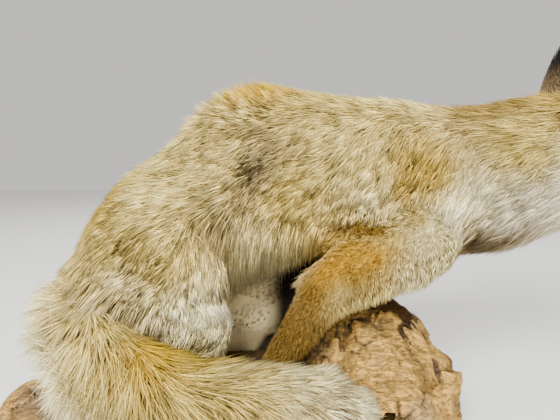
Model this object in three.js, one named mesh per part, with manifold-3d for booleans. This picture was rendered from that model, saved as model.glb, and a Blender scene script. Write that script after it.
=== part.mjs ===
// A red fox mounted for display, crouching on a piece of driftwood with its brush swept round
// the near side. Millimetres, +X from tail to head, +Y the fox's left, +Z up. The origin is the
// centre of the driftwood's flat underside.
//
// The flesh is a set of "bones", balls swept along a segment and melted into each other. Each
// node's surface is the outline of the coat, to the tips of the hair. It is wrapped from its
// bones on a grid, then cut where it meets the nodes that come before it.
import * as THREE from "three";
import { mergeVertices } from "three/addons/utils/BufferGeometryUtils.js";
import Module from "manifold-3d";

const wasm = await Module();
wasm.setup();

// ---------------------------------------------------------------- driving dimensions
const GAP = 0.3; // clear space between two neighbouring solids
const BACK_HEIGHT = 370; // from the floor to the top of the loin
const TRUNK_RADIUS = 85; // half the depth of the ribcage with its coat
const TRUNK_FLAT = 0.76; // width of the ribcage as a share of its depth
const HEAD_AT = [376, -4, 318]; // middle of the braincase
const HEAD_TURN = -6; // degrees, towards the near side
const HEAD_NOD = 4; // degrees, nose down
const EAR_HEIGHT = 86;
const EAR_HALF_WIDTH = 29;
const EAR_THICKNESS = 5.5;
const EYE_RADIUS = 8.6;
const EYE_AT = [38, 21.5, 9]; // in the head's own frame, left side
const ROOT_HEIGHT = 79; // height of the driftwood under the near hind foot
const BURL_HEIGHT = 148; // height of the burl at the front

// the grid cell that each group of nodes is wrapped on
const CELL = { wood: 32, trunk: 36.1, neck: 31.7, head: 14.1, tail: 28.7, upper: 28.7, lower: 18.8, paw: 13.5 };

// ---------------------------------------------------------------- colours of the coat and the rest
const fur = (hex) => new THREE.MeshStandardMaterial({ color: hex, roughness: 0.9, metalness: 0 });
const MATERIAL = {
  sand: fur(0xcdb683),
  cream: fur(0xe2d8bd),
  rust: fur(0xb98a43),
  brush: fur(0xc0a873),
  ear: fur(0x4a3620),
  wood: new THREE.MeshStandardMaterial({ color: 0xc39a68, roughness: 0.85, metalness: 0 }),
  eye: new THREE.MeshStandardMaterial({ color: 0xa8691c, roughness: 0.08, metalness: 0 }),
  nose: new THREE.MeshStandardMaterial({ color: 0x1a1614, roughness: 0.4, metalness: 0 }),
};

// ---------------------------------------------------------------- distance fields
// A bone from a to b, with the coat's radius at each end. flat squeezes it along Y.
const bone = (a, ra, b = a, rb = ra, flat = 1) => ({ a, b, ra, rb, flat });

function boneDistance(p, { a, b, ra, rb, flat }) {
  const along = [b[0] - a[0], b[1] - a[1], b[2] - a[2]];
  const length2 = along[0] ** 2 + along[1] ** 2 + along[2] ** 2;
  const from = [p[0] - a[0], p[1] - a[1], p[2] - a[2]];
  const dot = from[0] * along[0] + from[1] * along[1] + from[2] * along[2];
  const t = length2 > 0 ? Math.min(1, Math.max(0, dot / length2)) : 0;
  const x = from[0] - t * along[0];
  const y = (from[1] - t * along[1]) / flat;
  const z = from[2] - t * along[2];
  return Math.hypot(x, y, z) - (ra + t * (rb - ra));
}

// Two fields melted together over a width.
function melt(d1, d2, width) {
  const h = Math.max(width - Math.abs(d1 - d2), 0);
  return Math.min(d1, d2) - (h * h) / (4 * width);
}

const fieldOf = (bones, width) => (p) =>
  bones.reduce((d, one) => melt(d, boneDistance(p, one), width), 1e6);

function gradient(field, p) {
  const step = 0.5;
  return [0, 1, 2].map((axis) => {
    const ahead = [...p];
    const behind = [...p];
    ahead[axis] += step;
    behind[axis] -= step;
    return (field(ahead) - field(behind)) / (2 * step);
  });
}

// ---------------------------------------------------------------- wrapping a field in a mesh
// Surface nets: one vertex in each grid cell that the surface crosses, drawn onto the surface
// by a few Newton steps, and one quad round each grid edge that it crosses.
function wrap(field, low, high, cell) {
  const count = [0, 1, 2].map((axis) => Math.ceil((high[axis] - low[axis]) / cell) + 1);
  const index = (i, j, k) => (k * count[1] + j) * count[0] + i;
  const corner = (i, j, k) => [low[0] + i * cell, low[1] + j * cell, low[2] + k * cell];
  const value = new Float64Array(count[0] * count[1] * count[2]);
  for (let k = 0; k < count[2]; k++)
    for (let j = 0; j < count[1]; j++)
      for (let i = 0; i < count[0]; i++) value[index(i, j, k)] = field(corner(i, j, k));

  const points = [];
  const vertexOfCell = new Map();
  const offsets = [0, 1, 2, 3, 4, 5, 6, 7].map((n) => [n & 1, (n >> 1) & 1, n >> 2]);
  for (let k = 0; k + 1 < count[2]; k++)
    for (let j = 0; j + 1 < count[1]; j++)
      for (let i = 0; i + 1 < count[0]; i++) {
        const sum = [0, 0, 0];
        let crossings = 0;
        for (let m = 0; m < 8; m++)
          for (const bit of [1, 2, 4]) {
            if (m & bit) continue;
            const [from, to] = [offsets[m], offsets[m | bit]];
            const v0 = value[index(i + from[0], j + from[1], k + from[2])];
            const v1 = value[index(i + to[0], j + to[1], k + to[2])];
            if (v0 < 0 === v1 < 0) continue;
            const t = v0 / (v0 - v1);
            for (let axis = 0; axis < 3; axis++)
              sum[axis] += from[axis] + t * (to[axis] - from[axis]);
            crossings++;
          }
        if (!crossings) continue;
        const at = [i, j, k].map((n, axis) => low[axis] + (n + sum[axis] / crossings) * cell);
        vertexOfCell.set(index(i, j, k), points.length);
        points.push(drawnOnto(field, at, cell));
      }

  const triangles = [];
  const axes = [[1, 0, 0], [0, 1, 0], [0, 0, 1]];
  for (let k = 1; k + 1 < count[2]; k++)
    for (let j = 1; j + 1 < count[1]; j++)
      for (let i = 1; i + 1 < count[0]; i++)
        for (let axis = 0; axis < 3; axis++) {
          const d = axes[axis];
          const inside = value[index(i, j, k)] < 0;
          if (inside === value[index(i + d[0], j + d[1], k + d[2])] < 0) continue;
          const u = axes[(axis + 1) % 3];
          const v = axes[(axis + 2) % 3];
          const ring = [[1, 1], [0, 1], [0, 0], [1, 0]].map(([s, t]) =>
            vertexOfCell.get(
              index(i - s * u[0] - t * v[0], j - s * u[1] - t * v[1], k - s * u[2] - t * v[2]),
            ),
          );
          if (!inside) ring.reverse();
          triangles.push(...split(points, ring));
        }
  return { points, triangles };
}

function drawnOnto(field, start, cell) {
  const at = [...start];
  for (let step = 0; step < 4; step++) {
    const slope = gradient(field, at);
    const size2 = Math.max(slope[0] ** 2 + slope[1] ** 2 + slope[2] ** 2, 0.05);
    const d = Math.max(-cell / 4, Math.min(cell / 4, field(at))) / size2;
    for (let axis = 0; axis < 3; axis++) at[axis] -= d * slope[axis];
  }
  return at.map((x, axis) => Math.max(start[axis] - cell / 2, Math.min(start[axis] + cell / 2, x)));
}

// A quad as two triangles, along its shorter diagonal.
function split(points, [a, b, c, d]) {
  const gap = (m, n) => Math.hypot(...points[m].map((x, axis) => x - points[n][axis]));
  return gap(a, c) < gap(b, d) ? [a, b, c, a, c, d] : [a, b, d, b, c, d];
}

// ---------------------------------------------------------------- solids
function solidFrom(points, triangles) {
  return new wasm.Manifold(
    new wasm.Mesh({
      numProp: 3,
      vertProperties: new Float32Array(points.flat()),
      triVerts: new Uint32Array(triangles),
    }),
  );
}

function solidOfGeometry(geometry) {
  const bare = geometry.clone();
  bare.deleteAttribute("normal");
  bare.deleteAttribute("uv");
  const merged = mergeVertices(bare, 1e-3);
  return new wasm.Manifold(
    new wasm.Mesh({
      numProp: 3,
      vertProperties: new Float32Array(merged.attributes.position.array),
      triVerts: new Uint32Array(merged.index.array),
    }),
  );
}

// A solid and the slightly larger one that clears room for it in its neighbours. A field that
// runs on past the box is closed off just inside it.
function wrapped(open, low, high, cell) {
  const field = (p) =>
    p.reduce((d, x, axis) => {
      const inset = 1.4 * cell;
      return Math.max(d, low[axis] + inset - x, x - high[axis] + inset);
    }, open(p));
  const { points, triangles } = wrap(field, low, high, cell);
  const grown = points.map((p) => {
    const slope = gradient(field, p);
    const size = Math.hypot(...slope);
    return p.map((x, axis) => x + (GAP * slope[axis]) / size);
  });
  return { body: solidFrom(points, triangles), clearance: solidFrom(grown, triangles) };
}

function wrappedBones(bones, width, cell) {
  const reach = [0, 1, 2].map((axis) => {
    const ends = bones.flatMap((one) => [
      [one.a[axis], one.ra],
      [one.b[axis], one.rb],
    ]);
    const room = 1.6 * cell + 4;
    return [
      Math.min(...ends.map(([x, r]) => x - r)) - room,
      Math.max(...ends.map(([x, r]) => x + r)) + room,
    ];
  });
  return wrapped(fieldOf(bones, width), reach.map((r) => r[0]), reach.map((r) => r[1]), cell);
}

const largest = (solid) =>
  solid.decompose().reduce((best, one) => (one.volume() > best.volume() ? one : best));

// The half of space on the side of a plane that its normal points to.
function beyond(point, normal) {
  const size = 1600;
  const box = new THREE.BoxGeometry(size, size, size);
  const n = new THREE.Vector3(...normal).normalize();
  box.applyQuaternion(new THREE.Quaternion().setFromUnitVectors(new THREE.Vector3(0, 0, 1), n));
  box.translate(...new THREE.Vector3(...point).addScaledVector(n, size / 2).toArray());
  return solidOfGeometry(box);
}

// A solid parted by planes, from its start to its end, with a thin cut at each.
function parted(solid, cuts) {
  const pieces = [];
  for (let n = 0; n <= cuts.length; n++) {
    let piece = solid;
    if (n > 0) {
      const { point, normal } = cuts[n - 1];
      piece = piece.intersect(beyond(shifted(point, normal, GAP / 2), normal));
    }
    if (n < cuts.length) {
      const { point, normal } = cuts[n];
      piece = piece.subtract(beyond(shifted(point, normal, -GAP / 2), normal));
    }
    pieces.push(piece);
  }
  return pieces;
}

const shifted = (point, normal, by) => {
  const size = Math.hypot(...normal);
  return point.map((x, axis) => x + (by * normal[axis]) / size);
};

// A closed surface through rings of points, with a fan over each end.
function lofted(rings) {
  const points = rings.flat();
  const size = rings[0].length;
  const triangles = [];
  for (let ring = 0; ring + 1 < rings.length; ring++)
    for (let n = 0; n < size; n++) {
      const next = (n + 1) % size;
      const [a, b] = [ring * size + n, ring * size + next];
      const [c, d] = [a + size, b + size];
      triangles.push(a, b, d, a, d, c);
    }
  for (const [ring, flip] of [[0, true], [rings.length - 1, false]]) {
    const middle = [0, 1, 2].map((axis) => rings[ring].reduce((s, p) => s + p[axis], 0) / size);
    points.push(middle);
    for (let n = 0; n < size; n++) {
      const [a, b] = [ring * size + n, ring * size + ((n + 1) % size)];
      triangles.push(...(flip ? [b, a, points.length - 1] : [a, b, points.length - 1]));
    }
  }
  return { points, triangles };
}

// ---------------------------------------------------------------- the head's own frame
// x towards the nose, y to the fox's left, z up, from the middle of the braincase.
const headMatrix = new THREE.Matrix4().compose(
  new THREE.Vector3(...HEAD_AT),
  new THREE.Quaternion().setFromEuler(
    new THREE.Euler(
      0,
      THREE.MathUtils.degToRad(HEAD_NOD),
      THREE.MathUtils.degToRad(HEAD_TURN),
      "ZYX",
    ),
  ),
  new THREE.Vector3(1, 1, 1),
);
const inHead = (p) => new THREE.Vector3(...p).applyMatrix4(headMatrix).toArray();
const headBone = (a, ra, b = a, rb = ra, flat = 1) => bone(inHead(a), ra, inHead(b), rb, flat);
const SIDES = [["left", 1], ["right", -1]];
const bothSides = (make) => SIDES.flatMap(([, side]) => make(side));

// ---------------------------------------------------------------- the bones of each part
const TRUNK = [
  bone([205, 0, 275], 78, [150, 0, 277], TRUNK_RADIUS, TRUNK_FLAT), // withers and shoulders
  bone([150, 0, 277], TRUNK_RADIUS, [75, 0, BACK_HEIGHT - 86], 83, TRUNK_FLAT), // ribcage
  bone([75, 0, BACK_HEIGHT - 86], 83, [40, 0, BACK_HEIGHT - 80], 82, TRUNK_FLAT), // back of the ribs
  bone([40, 0, BACK_HEIGHT - 80], 82, [12, 0, BACK_HEIGHT - 80], 77, TRUNK_FLAT), // loin
  bone([12, 0, BACK_HEIGHT - 80], 77, [-76, 0, 231], 69, 0.82), // croup
  bone([-76, 0, 231], 69, [-128, 0, 197], 53, 0.9), // rump
  bone([165, 0, 248], 76, [60, 0, 262], 72, 0.74), // breastbone
  bone([-15, 0, 234], 71, [40, 0, 252], 70, 0.78), // belly
];
const NECK = [
  bone([205, 0, 275], 78, [258, 0, 277], 80, 0.8),
  bone([258, 0, 277], 80, [318, -2, 296], 77, 0.86),
];
const HEAD = [
  headBone([-10, 0, -2], 40, [-30, 0, -6], 42, 1.18), // braincase
  headBone([-34, 0, -26], 54, [-56, 0, -26], 60, 1.0), // nape
  headBone([16, 0, 2], 31, [32, 0, 0], 27, 1.08), // forehead
  headBone([40, 0, -10], 24, [64, 0, -15], 18.5, 0.98), // bridge of the nose
  headBone([64, 0, -15], 18.5, [95, 0, -18.5], 13, 0.98), // muzzle
  headBone([34, 0, -32], 20, [88, 0, -29], 10.5, 1.0), // lower jaw
  headBone([14, 0, -40], 28, [-24, 0, -50], 38, 1.1), // throat under the jaw
  ...bothSides((side) => [
    headBone([24, side * 19, -18], 22, [-4, side * 34, -24], 29), // cheek
    headBone([-4, side * 34, -24], 29, [-28, side * 40, -40], 31), // ruff behind the cheek
    headBone([26, side * 17, 12], 11, [40, side * 15, 8], 7.5), // brow
    headBone([30, side * 13, -20], 18, [60, side * 6, -20], 13.5), // side of the muzzle
    headBone([-34, side * 33, 20], 20, [-32, side * 32, 28], 17), // root of the ear
  ]),
];
const TAIL_LINE = [
  [[-134, 0, 200], 26],
  [[-163, -36, 172], 27],
  [[-149, -72, 141], 38],
  [[-116, -100, 112], 47],
  [[-73, -118, 97], 48],
  [[-28, -128, 91], 45],
  [[15, -131, 92], 44],
  [[52, -132, 92], 42],
  [[80, -131, 89], 36],
  [[98, -129, 83], 24],
  [[112, -127, 78], 9],
];
const TAIL = TAIL_LINE.slice(1).map(([to, r], n) => bone(TAIL_LINE[n][0], TAIL_LINE[n][1], to, r));
const TAIL_CUTS = [3, 6]; // the points of the line where it is parted

const LIMBS = {
  thigh_right: [
    bone([-86, -36, 216], 66, [-62, -42, 196], 58, 0.74),
    bone([-104, -42, 194], 62, [-34, -57, 136], 30, 0.8),
    bone([-34, -57, 136], 30, [-27, -60, 112], 15),
  ],
  hind_shank_right: [bone([-36, -57, 130], 25, [-118, -52, 103], 15)],
  hind_paw_right: [
    bone([-118, -52, 98], 17, [-46, -54, 92], 14),
    bone([-46, -54, 92], 15, [-18, -55, 90], 12),
  ],
  thigh_left: [
    bone([-80, 36, 226], 66, [-52, 40, 205], 56, 0.72),
    bone([-52, 40, 205], 54, [58, 46, 140], 31, 0.82),
    bone([10, 36, 188], 44, [78, 42, 162], 28), // fold of skin from the flank to the knee
    bone([22, 46, 122], 26, [-34, 46, 106], 26), // back of the thigh, folded on the shank
  ],
  hind_shank_left: [bone([60, 46, 133], 30, [-25, 51, 81], 21)],
  hind_paw_left: [
    bone([-26, 52, 72], 18, [46, 55, 62], 15),
    bone([46, 55, 62], 16, [74, 56, 60], 12.5),
  ],
  upper_arm_right: [
    bone([172, -26, 268], 44, [172, -42, 222], 47, 0.8), // shoulder
    bone([172, -42, 222], 47, [84, -58, 176], 28),
  ],
  forearm_right: [bone([80, -60, 170], 23, [24, -62, 82], 13.5)],
  fore_paw_right: [
    bone([25, -62, 78], 14, [52, -64, 64], 16),
    bone([52, -64, 64], 16, [74, -65, 60], 12),
  ],
  upper_arm_left: [
    bone([172, 26, 268], 44, [174, 42, 222], 45, 0.8),
    bone([174, 42, 222], 45, [98, 52, 172], 26),
  ],
  forearm_left: [bone([98, 52, 168], 22, [132, 10, 149], 14)],
  fore_paw_left: [
    bone([132, 10, 148], 14, [152, -6, 136], 15.5),
    bone([152, -6, 136], 15.5, [171, -17, 130], 12),
  ],
};

// Where the trunk, the neck and the head are parted.
const NECK_CUT = { point: [214, 0, 276], normal: [1, 0, -0.12] };
const HEAD_CUT = { point: [334, 0, 290], normal: [1, -0.05, 0.36] };

// how softly the bones of each part run into each other
const MELT = { body: 15, head: 9, tail: 10, limb: 8, wood: 24 };

// ---------------------------------------------------------------- the driftwood
const WOOD = [
  bone([-206, -50, ROOT_HEIGHT - 36], 37, [-24, -56, ROOT_HEIGHT - 44], 38), // near root
  bone([-130, 20, 8], 60, [110, 10, 10], 74), // slab under the fox
  bone([140, -28, 44], 74, [156, -18, 40], 70), // burl
  bone([112, 16, BURL_HEIGHT - 54], 52, [152, 2, BURL_HEIGHT - 57], 54), // crest of the burl
  bone([182, -34, 34], 42, [196, -26, 24], 38), // foot of the burl
  bone([-110, 56, 22], 34, [-196, 74, 36], 22), // broken root at the far side
  bone([150, 60, 30], 40, [196, 84, 44], 24), // spur at the far side
  bone([204, -38, 88], 14, [210, -40, 88], 12), // knot on the burl
];
const WOOD_LUMPS = { height: 3.4, length: 21 };

// Slow folds in the surface of the wood.
function woodLumps([x, y, z]) {
  const { height, length } = WOOD_LUMPS;
  const swirl = Math.sin(y / (1.9 * length) + 1.3) * 1.4;
  const first = Math.sin(x / (2.1 * length) + swirl) * Math.cos(z / (1.2 * length) + swirl);
  const second = Math.sin(y / length - x / (2.6 * length)) * Math.sin(z / (0.9 * length) + 0.7);
  return height * (first + 0.7 * second);
}

function makeWood() {
  const rough = fieldOf(WOOD, MELT.wood);
  const field = (p) => rough(p) - woodLumps(p);
  const { body, clearance } = wrapped(field, [-300, -165, -75], [300, 170, 215], CELL.wood);
  const aboveFloor = beyond([0, 0, 0], [0, 0, 1]);
  return { body: body.intersect(aboveFloor), clearance };
}

// ---------------------------------------------------------------- ears, eyes and nose
// An ear is a cupped sheet: each ring runs round the back of the cup, then back along its inside.
function ear(side) {
  const levels = 7;
  const steps = 6;
  const root = new THREE.Vector3(-25, side * 35, 30);
  const up = new THREE.Vector3(-0.04, side * 0.27, 1).normalize();
  const open = new THREE.Vector3(0.86, side * 0.5, 0);
  open.addScaledVector(up, -open.dot(up)).normalize();
  const across = new THREE.Vector3().crossVectors(up, open);
  const rings = [];
  for (let level = 0; level <= levels; level++) {
    const v = level / levels;
    const half = EAR_HALF_WIDTH * Math.pow(1 - Math.pow(v, 1.75), 0.78) + 1.8;
    const depth = half * (0.92 - 0.42 * v);
    const thick = Math.min(EAR_THICKNESS, 0.55 * half + 1);
    const turn = THREE.MathUtils.degToRad(118 - 34 * v);
    const ring = [];
    for (const [shrink, from] of [[0, -1], [thick, 1]])
      for (let n = 0; n <= steps; n++) {
        const angle = turn * from * (1 - (2 * n) / steps);
        const wide = (half - shrink) * Math.sin(angle);
        const back = (depth - shrink * 0.8) * Math.cos(angle);
        const lean = 10 * v * v; // the tip bends back over the cup
        ring.push(
          inHead(
            root
              .clone()
              .addScaledVector(up, v * (EAR_HEIGHT + 14) - 14)
              .addScaledVector(across, wide)
              .addScaledVector(open, -back + lean * 0.6)
              .toArray(),
          ),
        );
      }
    rings.push(ring);
  }
  const { points, triangles } = lofted(rings);
  const solid = solidFrom(points, triangles);
  if (solid.volume() > 0) return solid;
  for (let n = 0; n < triangles.length; n += 3)
    [triangles[n + 1], triangles[n + 2]] = [triangles[n + 2], triangles[n + 1]];
  return solidFrom(points, triangles);
}

function eyeball(side, radius) {
  const sphere = new THREE.SphereGeometry(radius, 12, 8);
  sphere.translate(...inHead([EYE_AT[0], side * EYE_AT[1], EYE_AT[2]]));
  return solidOfGeometry(sphere);
}

// The leathery pad: a rounded box, wider above than below.
function nosePad() {
  return wrappedBones(
    [
      headBone([103, 4, -16.5], 6.2, [103, -4, -16.5], 6.2),
      headBone([101.5, 0, -19], 6.2, [98.5, 0, -24], 4.2),
    ],
    3,
    3.2,
  );
}

// ---------------------------------------------------------------- the whole fox
const nodes = [];
const taken = [];

// A node gives way to everything in the way, and what is left of it is one body.
function place(name, body, inTheWay, material) {
  const cut = inTheWay.reduce((solid, other) => solid.subtract(other), body);
  nodes.push({ name, solid: largest(cut), material });
}

function placeAndClaim(name, { body, clearance = body }, material) {
  place(name, body, taken, material);
  taken.push(clearance);
}

placeAndClaim("driftwood", makeWood(), MATERIAL.wood);
for (const [name, side] of SIDES) {
  const [body, clearance] = [EYE_RADIUS, EYE_RADIUS + GAP].map((radius) => eyeball(side, radius));
  placeAndClaim(`eye_${name}`, { body, clearance }, MATERIAL.eye);
}
placeAndClaim("nose", nosePad(), MATERIAL.nose);

// The limbs, from the paws up.
for (const [part, cell, material] of [
  ["paw", CELL.paw, MATERIAL.rust],
  ["forearm", CELL.lower, MATERIAL.rust],
  ["shank", CELL.lower, MATERIAL.cream],
  ["upper_arm", CELL.upper, MATERIAL.rust],
  ["thigh", CELL.upper, MATERIAL.sand],
])
  for (const [name, bones] of Object.entries(LIMBS).filter(([key]) => key.includes(part)))
    placeAndClaim(name, wrappedBones(bones, MELT.limb, cell), material);

// Head, neck and trunk are one field, parted by planes. The head is wrapped on a finer grid.
const headField = fieldOf(HEAD, MELT.head);
const trunkField = fieldOf([...TRUNK, ...NECK], MELT.body);
const bodyField = (p) => melt(headField(p), trunkField(p), MELT.body);
const headEnd = wrapped(bodyField, [276, -110, 196], [512, 104, 400], CELL.head);
const neckLength = wrapped(bodyField, [140, -125, 125], [430, 120, 440], CELL.neck);
const trunkLength = wrapped(bodyField, [-240, -130, 80], [330, 130, 440], CELL.trunk);
const head = parted(headEnd.body, [HEAD_CUT])[1];
const neck = parted(neckLength.body, [NECK_CUT, HEAD_CUT])[1];
const trunk = parted(trunkLength.body, [NECK_CUT])[0];
const belowHead = [...taken];

place("head", head, taken, MATERIAL.sand);
for (const [name, side] of SIDES) {
  const inTheWay = [...taken, headEnd.clearance, neckLength.clearance];
  place(`ear_${name}`, ear(side), inTheWay, MATERIAL.ear);
}

const brush = wrappedBones(TAIL, MELT.tail, CELL.tail);
const brushCuts = TAIL_CUTS.map((n) => ({
  point: TAIL_LINE[n][0],
  normal: TAIL_LINE[n + 1][0].map((x, axis) => x - TAIL_LINE[n - 1][0][axis]),
}));
const [tailBase, tailMiddle, tailTip] = parted(brush.body, brushCuts);
place("tail_base", tailBase, belowHead, MATERIAL.brush);
place("tail_middle", tailMiddle, belowHead, MATERIAL.brush);
place("tail_tip", tailTip, belowHead, MATERIAL.cream);

place("neck", neck, belowHead, MATERIAL.cream);
place("trunk", trunk, [...belowHead, brush.clearance], MATERIAL.sand);

// ---------------------------------------------------------------- the scene graph
const fox = new THREE.Group();
fox.name = "mounted_fox";
for (const { name, solid, material } of nodes) {
  const { vertProperties, triVerts, numProp } = solid.getMesh();
  const geometry = new THREE.BufferGeometry();
  const position = new Float32Array((vertProperties.length / numProp) * 3);
  for (let n = 0; n < position.length / 3; n++)
    position.set(vertProperties.subarray(n * numProp, n * numProp + 3), n * 3);
  geometry.setAttribute("position", new THREE.BufferAttribute(position, 3));
  geometry.setIndex(new THREE.BufferAttribute(triVerts, 1));
  geometry.computeVertexNormals();
  const mesh = new THREE.Mesh(geometry, material);
  mesh.name = name;
  fox.add(mesh);
}

export default fox;
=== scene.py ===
"""The looks of a mounted red fox that crouches over a piece of driftwood.

Sizes are in millimetres until a mesh is made, in the part's own frame: +X to the nose, +Y to the
fox's left, +Z up. The flesh is a set of bones, balls swept along a segment and melted together.
Their radii reach the tips of the coat, and each bone also says how deep its coat is. The skin is
wrapped round the bones less that depth, and tufts of hair stand on it and reach back out to the
bones' full radii.
"""

import math
from collections import namedtuple

import bpy
import numpy as np
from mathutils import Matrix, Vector


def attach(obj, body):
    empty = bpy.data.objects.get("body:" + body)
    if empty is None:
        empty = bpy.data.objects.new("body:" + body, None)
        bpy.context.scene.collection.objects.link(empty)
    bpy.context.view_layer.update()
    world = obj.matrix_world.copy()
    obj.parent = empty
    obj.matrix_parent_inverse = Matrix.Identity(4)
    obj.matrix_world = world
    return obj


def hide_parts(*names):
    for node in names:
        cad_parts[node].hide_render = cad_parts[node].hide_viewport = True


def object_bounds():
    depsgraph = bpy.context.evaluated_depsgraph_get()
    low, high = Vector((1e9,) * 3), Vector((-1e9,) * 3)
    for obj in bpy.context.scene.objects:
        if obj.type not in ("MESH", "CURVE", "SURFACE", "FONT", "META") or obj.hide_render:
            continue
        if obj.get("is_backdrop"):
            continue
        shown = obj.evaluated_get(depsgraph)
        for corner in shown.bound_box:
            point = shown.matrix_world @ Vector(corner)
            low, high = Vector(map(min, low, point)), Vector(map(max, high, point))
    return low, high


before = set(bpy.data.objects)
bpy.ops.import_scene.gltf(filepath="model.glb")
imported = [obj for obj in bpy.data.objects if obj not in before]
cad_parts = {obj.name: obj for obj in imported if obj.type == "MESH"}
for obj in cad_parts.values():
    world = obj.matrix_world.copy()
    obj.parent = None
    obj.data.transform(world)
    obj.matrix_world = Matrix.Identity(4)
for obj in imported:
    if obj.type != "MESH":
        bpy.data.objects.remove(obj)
cad_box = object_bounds()

MM = 0.001
X, Y, Z = range(3)
SIDES = (("left", 1), ("right", -1))

# ------------------------------------------------------------------ driving dimensions
BACK_HEIGHT = 370
TRUNK_RADIUS = 85
TRUNK_FLAT = 0.76
ROOT_HEIGHT = 79
BURL_HEIGHT = 148
HEAD_AT = np.array([376.0, -4.0, 318.0])
HEAD_TURN = math.radians(-6)
HEAD_NOD = math.radians(4)
# Places and directions of the left eye and ear, in the head's frame.
EYE_AT = (38.0, 21.5, 9.0)
EYE_GAZE = (0.74, 0.66, 0.1)
EYE_OUTER_CORNER = (-0.62, 0.72, 0.26)
EYE_RADIUS = 8.6
EAR_ROOT = (-25.0, 35.0, 30.0)
EAR_UP = (-0.04, 0.27, 1.0)
EAR_OPENING = (0.86, 0.5, 0.0)
EAR_HEIGHT = 86
EAR_SUNK = 14  # how much more of it is inside the head
EAR_HALF_WIDTH = 29
EAR_THICKNESS = 3.0

COAT_SEED = 7
PIECE_SEED = 20  # from one piece of the coat to the next
EAR_SEED = 900

# ------------------------------------------------------------------ camera
CAMERA_LENS = 30.02
CAMERA_SENSOR = 36
CAMERA_AIM_FROM = (40.0, 0.0, 245.0)  # the point that the view's centre line passes through
CAMERA_DISTANCE = 504.0
CAMERA_PITCH = math.radians(7.5)


def add_camera():
    data = bpy.data.cameras.new("camera")
    data.lens = CAMERA_LENS
    data.sensor_width = CAMERA_SENSOR
    data.clip_start = 0.01
    camera = bpy.data.objects.new("camera", data)
    x, y, z = CAMERA_AIM_FROM
    camera.location = (
        x * MM,
        (y - CAMERA_DISTANCE * math.cos(CAMERA_PITCH)) * MM,
        (z + CAMERA_DISTANCE * math.sin(CAMERA_PITCH)) * MM,
    )
    camera.rotation_euler = (math.pi / 2 - CAMERA_PITCH, 0, 0)
    bpy.context.collection.objects.link(camera)
    bpy.context.scene.camera = camera


# ------------------------------------------------------------------ vectors and noise
def unit(v):
    return v / np.maximum(np.linalg.norm(v, axis=-1, keepdims=True), 1e-9)


def blend(a, b, t):
    return a + (b - a) * t


def smooth_step(low, high, x):
    t = np.clip((x - low) / (high - low), 0, 1)
    return t * t * (3 - 2 * t)


def soft_box(points, edges):
    """1 inside a box and 0 outside it, with soft edges. An edge is its axis, where the share is
    still 0, and where it is 1."""
    share = np.ones(len(points))
    for axis, outside, inside in edges:
        share = share * smooth_step(outside, inside, points[:, axis])
    return share


def lattice_value(cell, seed):
    """A repeatable number from 0 to 1 for each whole-numbered cell."""
    mixed = cell.astype(np.int64) * np.array([73856093, 19349663, 83492791])
    h = (mixed[..., 0] ^ mixed[..., 1] ^ mixed[..., 2]) + seed * 668265263
    h = (h ^ (h >> 15)) * 2246822519 & 0xFFFFFFFF
    h = (h ^ (h >> 13)) * 3266489917 & 0xFFFFFFFF
    return ((h ^ (h >> 16)) & 0xFFFFFF) / float(0xFFFFFF)


def lattice_vector(cell, seed):
    return np.stack([lattice_value(cell, seed + n) for n in range(3)], axis=1)


def lattice_centres(points, size, seed):
    """The cells round each point, one after another, each with a jittered centre."""
    cell = np.floor(points / size).astype(np.int64)
    for step in np.ndindex(3, 3, 3):
        near = cell + (np.array(step) - 1)
        yield near, (near + lattice_vector(near, seed)) * size


CORNERS = [np.array([n & 1, n >> 1 & 1, n >> 2]) for n in range(8)]  # of a cell


def noise(points, length, seed):
    """Smooth noise from -1 to 1 with features about as long as length."""
    at = points / length
    cell = np.floor(at)
    t = smooth_step(0, 1, at - cell)
    total = np.zeros(len(points))
    for corner in CORNERS:
        share = np.prod(np.where(corner == 1, t, 1 - t), axis=1)
        total += share * lattice_value(cell + corner, seed)
    return total * 2 - 1


def noise_vector(points, length, seed):
    return np.stack([noise(points, length, seed + n) for n in range(3)], axis=1)


# ------------------------------------------------------------------ bones
Bone = namedtuple("Bone", "a ra b rb flat coat_a coat_b")


def bone(a, ra, b, rb, flat=1.0, coat=0, coat_b=None):
    """A ball of radius ra at a, swept to radius rb at b. flat is its width against its height,
    and coat and coat_b are how deep the hair is at its two ends."""
    coat_b = coat if coat_b is None else coat_b
    return Bone(np.array(a, float), ra, np.array(b, float), rb, flat, coat, coat_b)


def chain(joints, flats):
    """Bones from joint to joint. A joint is its place, its radius and the depth of its coat."""
    bones = []
    for (a, ra, coat_a), (b, rb, coat_b), flat in zip(joints, joints[1:], flats):
        bones.append(bone(a, ra, b, rb, flat, coat_a, coat_b))
    return bones


def rotation_head():
    """The columns are the head's forward, left and up axes."""
    ct, st = math.cos(HEAD_TURN), math.sin(HEAD_TURN)
    cn, sn = math.cos(HEAD_NOD), math.sin(HEAD_NOD)
    turn = np.array([[ct, -st, 0], [st, ct, 0], [0, 0, 1]])
    nod = np.array([[cn, 0, sn], [0, 1, 0], [-sn, 0, cn]])
    return turn @ nod


HEAD_AXES = rotation_head()


def in_head(p):
    return HEAD_AT + np.asarray(p, float) @ HEAD_AXES.T


def to_head(p):
    return (p - HEAD_AT) @ HEAD_AXES


def head_direction(v):
    return np.asarray(v, float) @ HEAD_AXES.T


def on_side(v, side):
    """A place or a direction of the left side, or its mirror image on the right."""
    return np.array([v[0], side * v[1], v[2]])


def head_bone(a, ra, b, rb, flat=1.0, coat=0, coat_b=None):
    return bone(in_head(a), ra, in_head(b), rb, flat, coat, coat_b)


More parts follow.
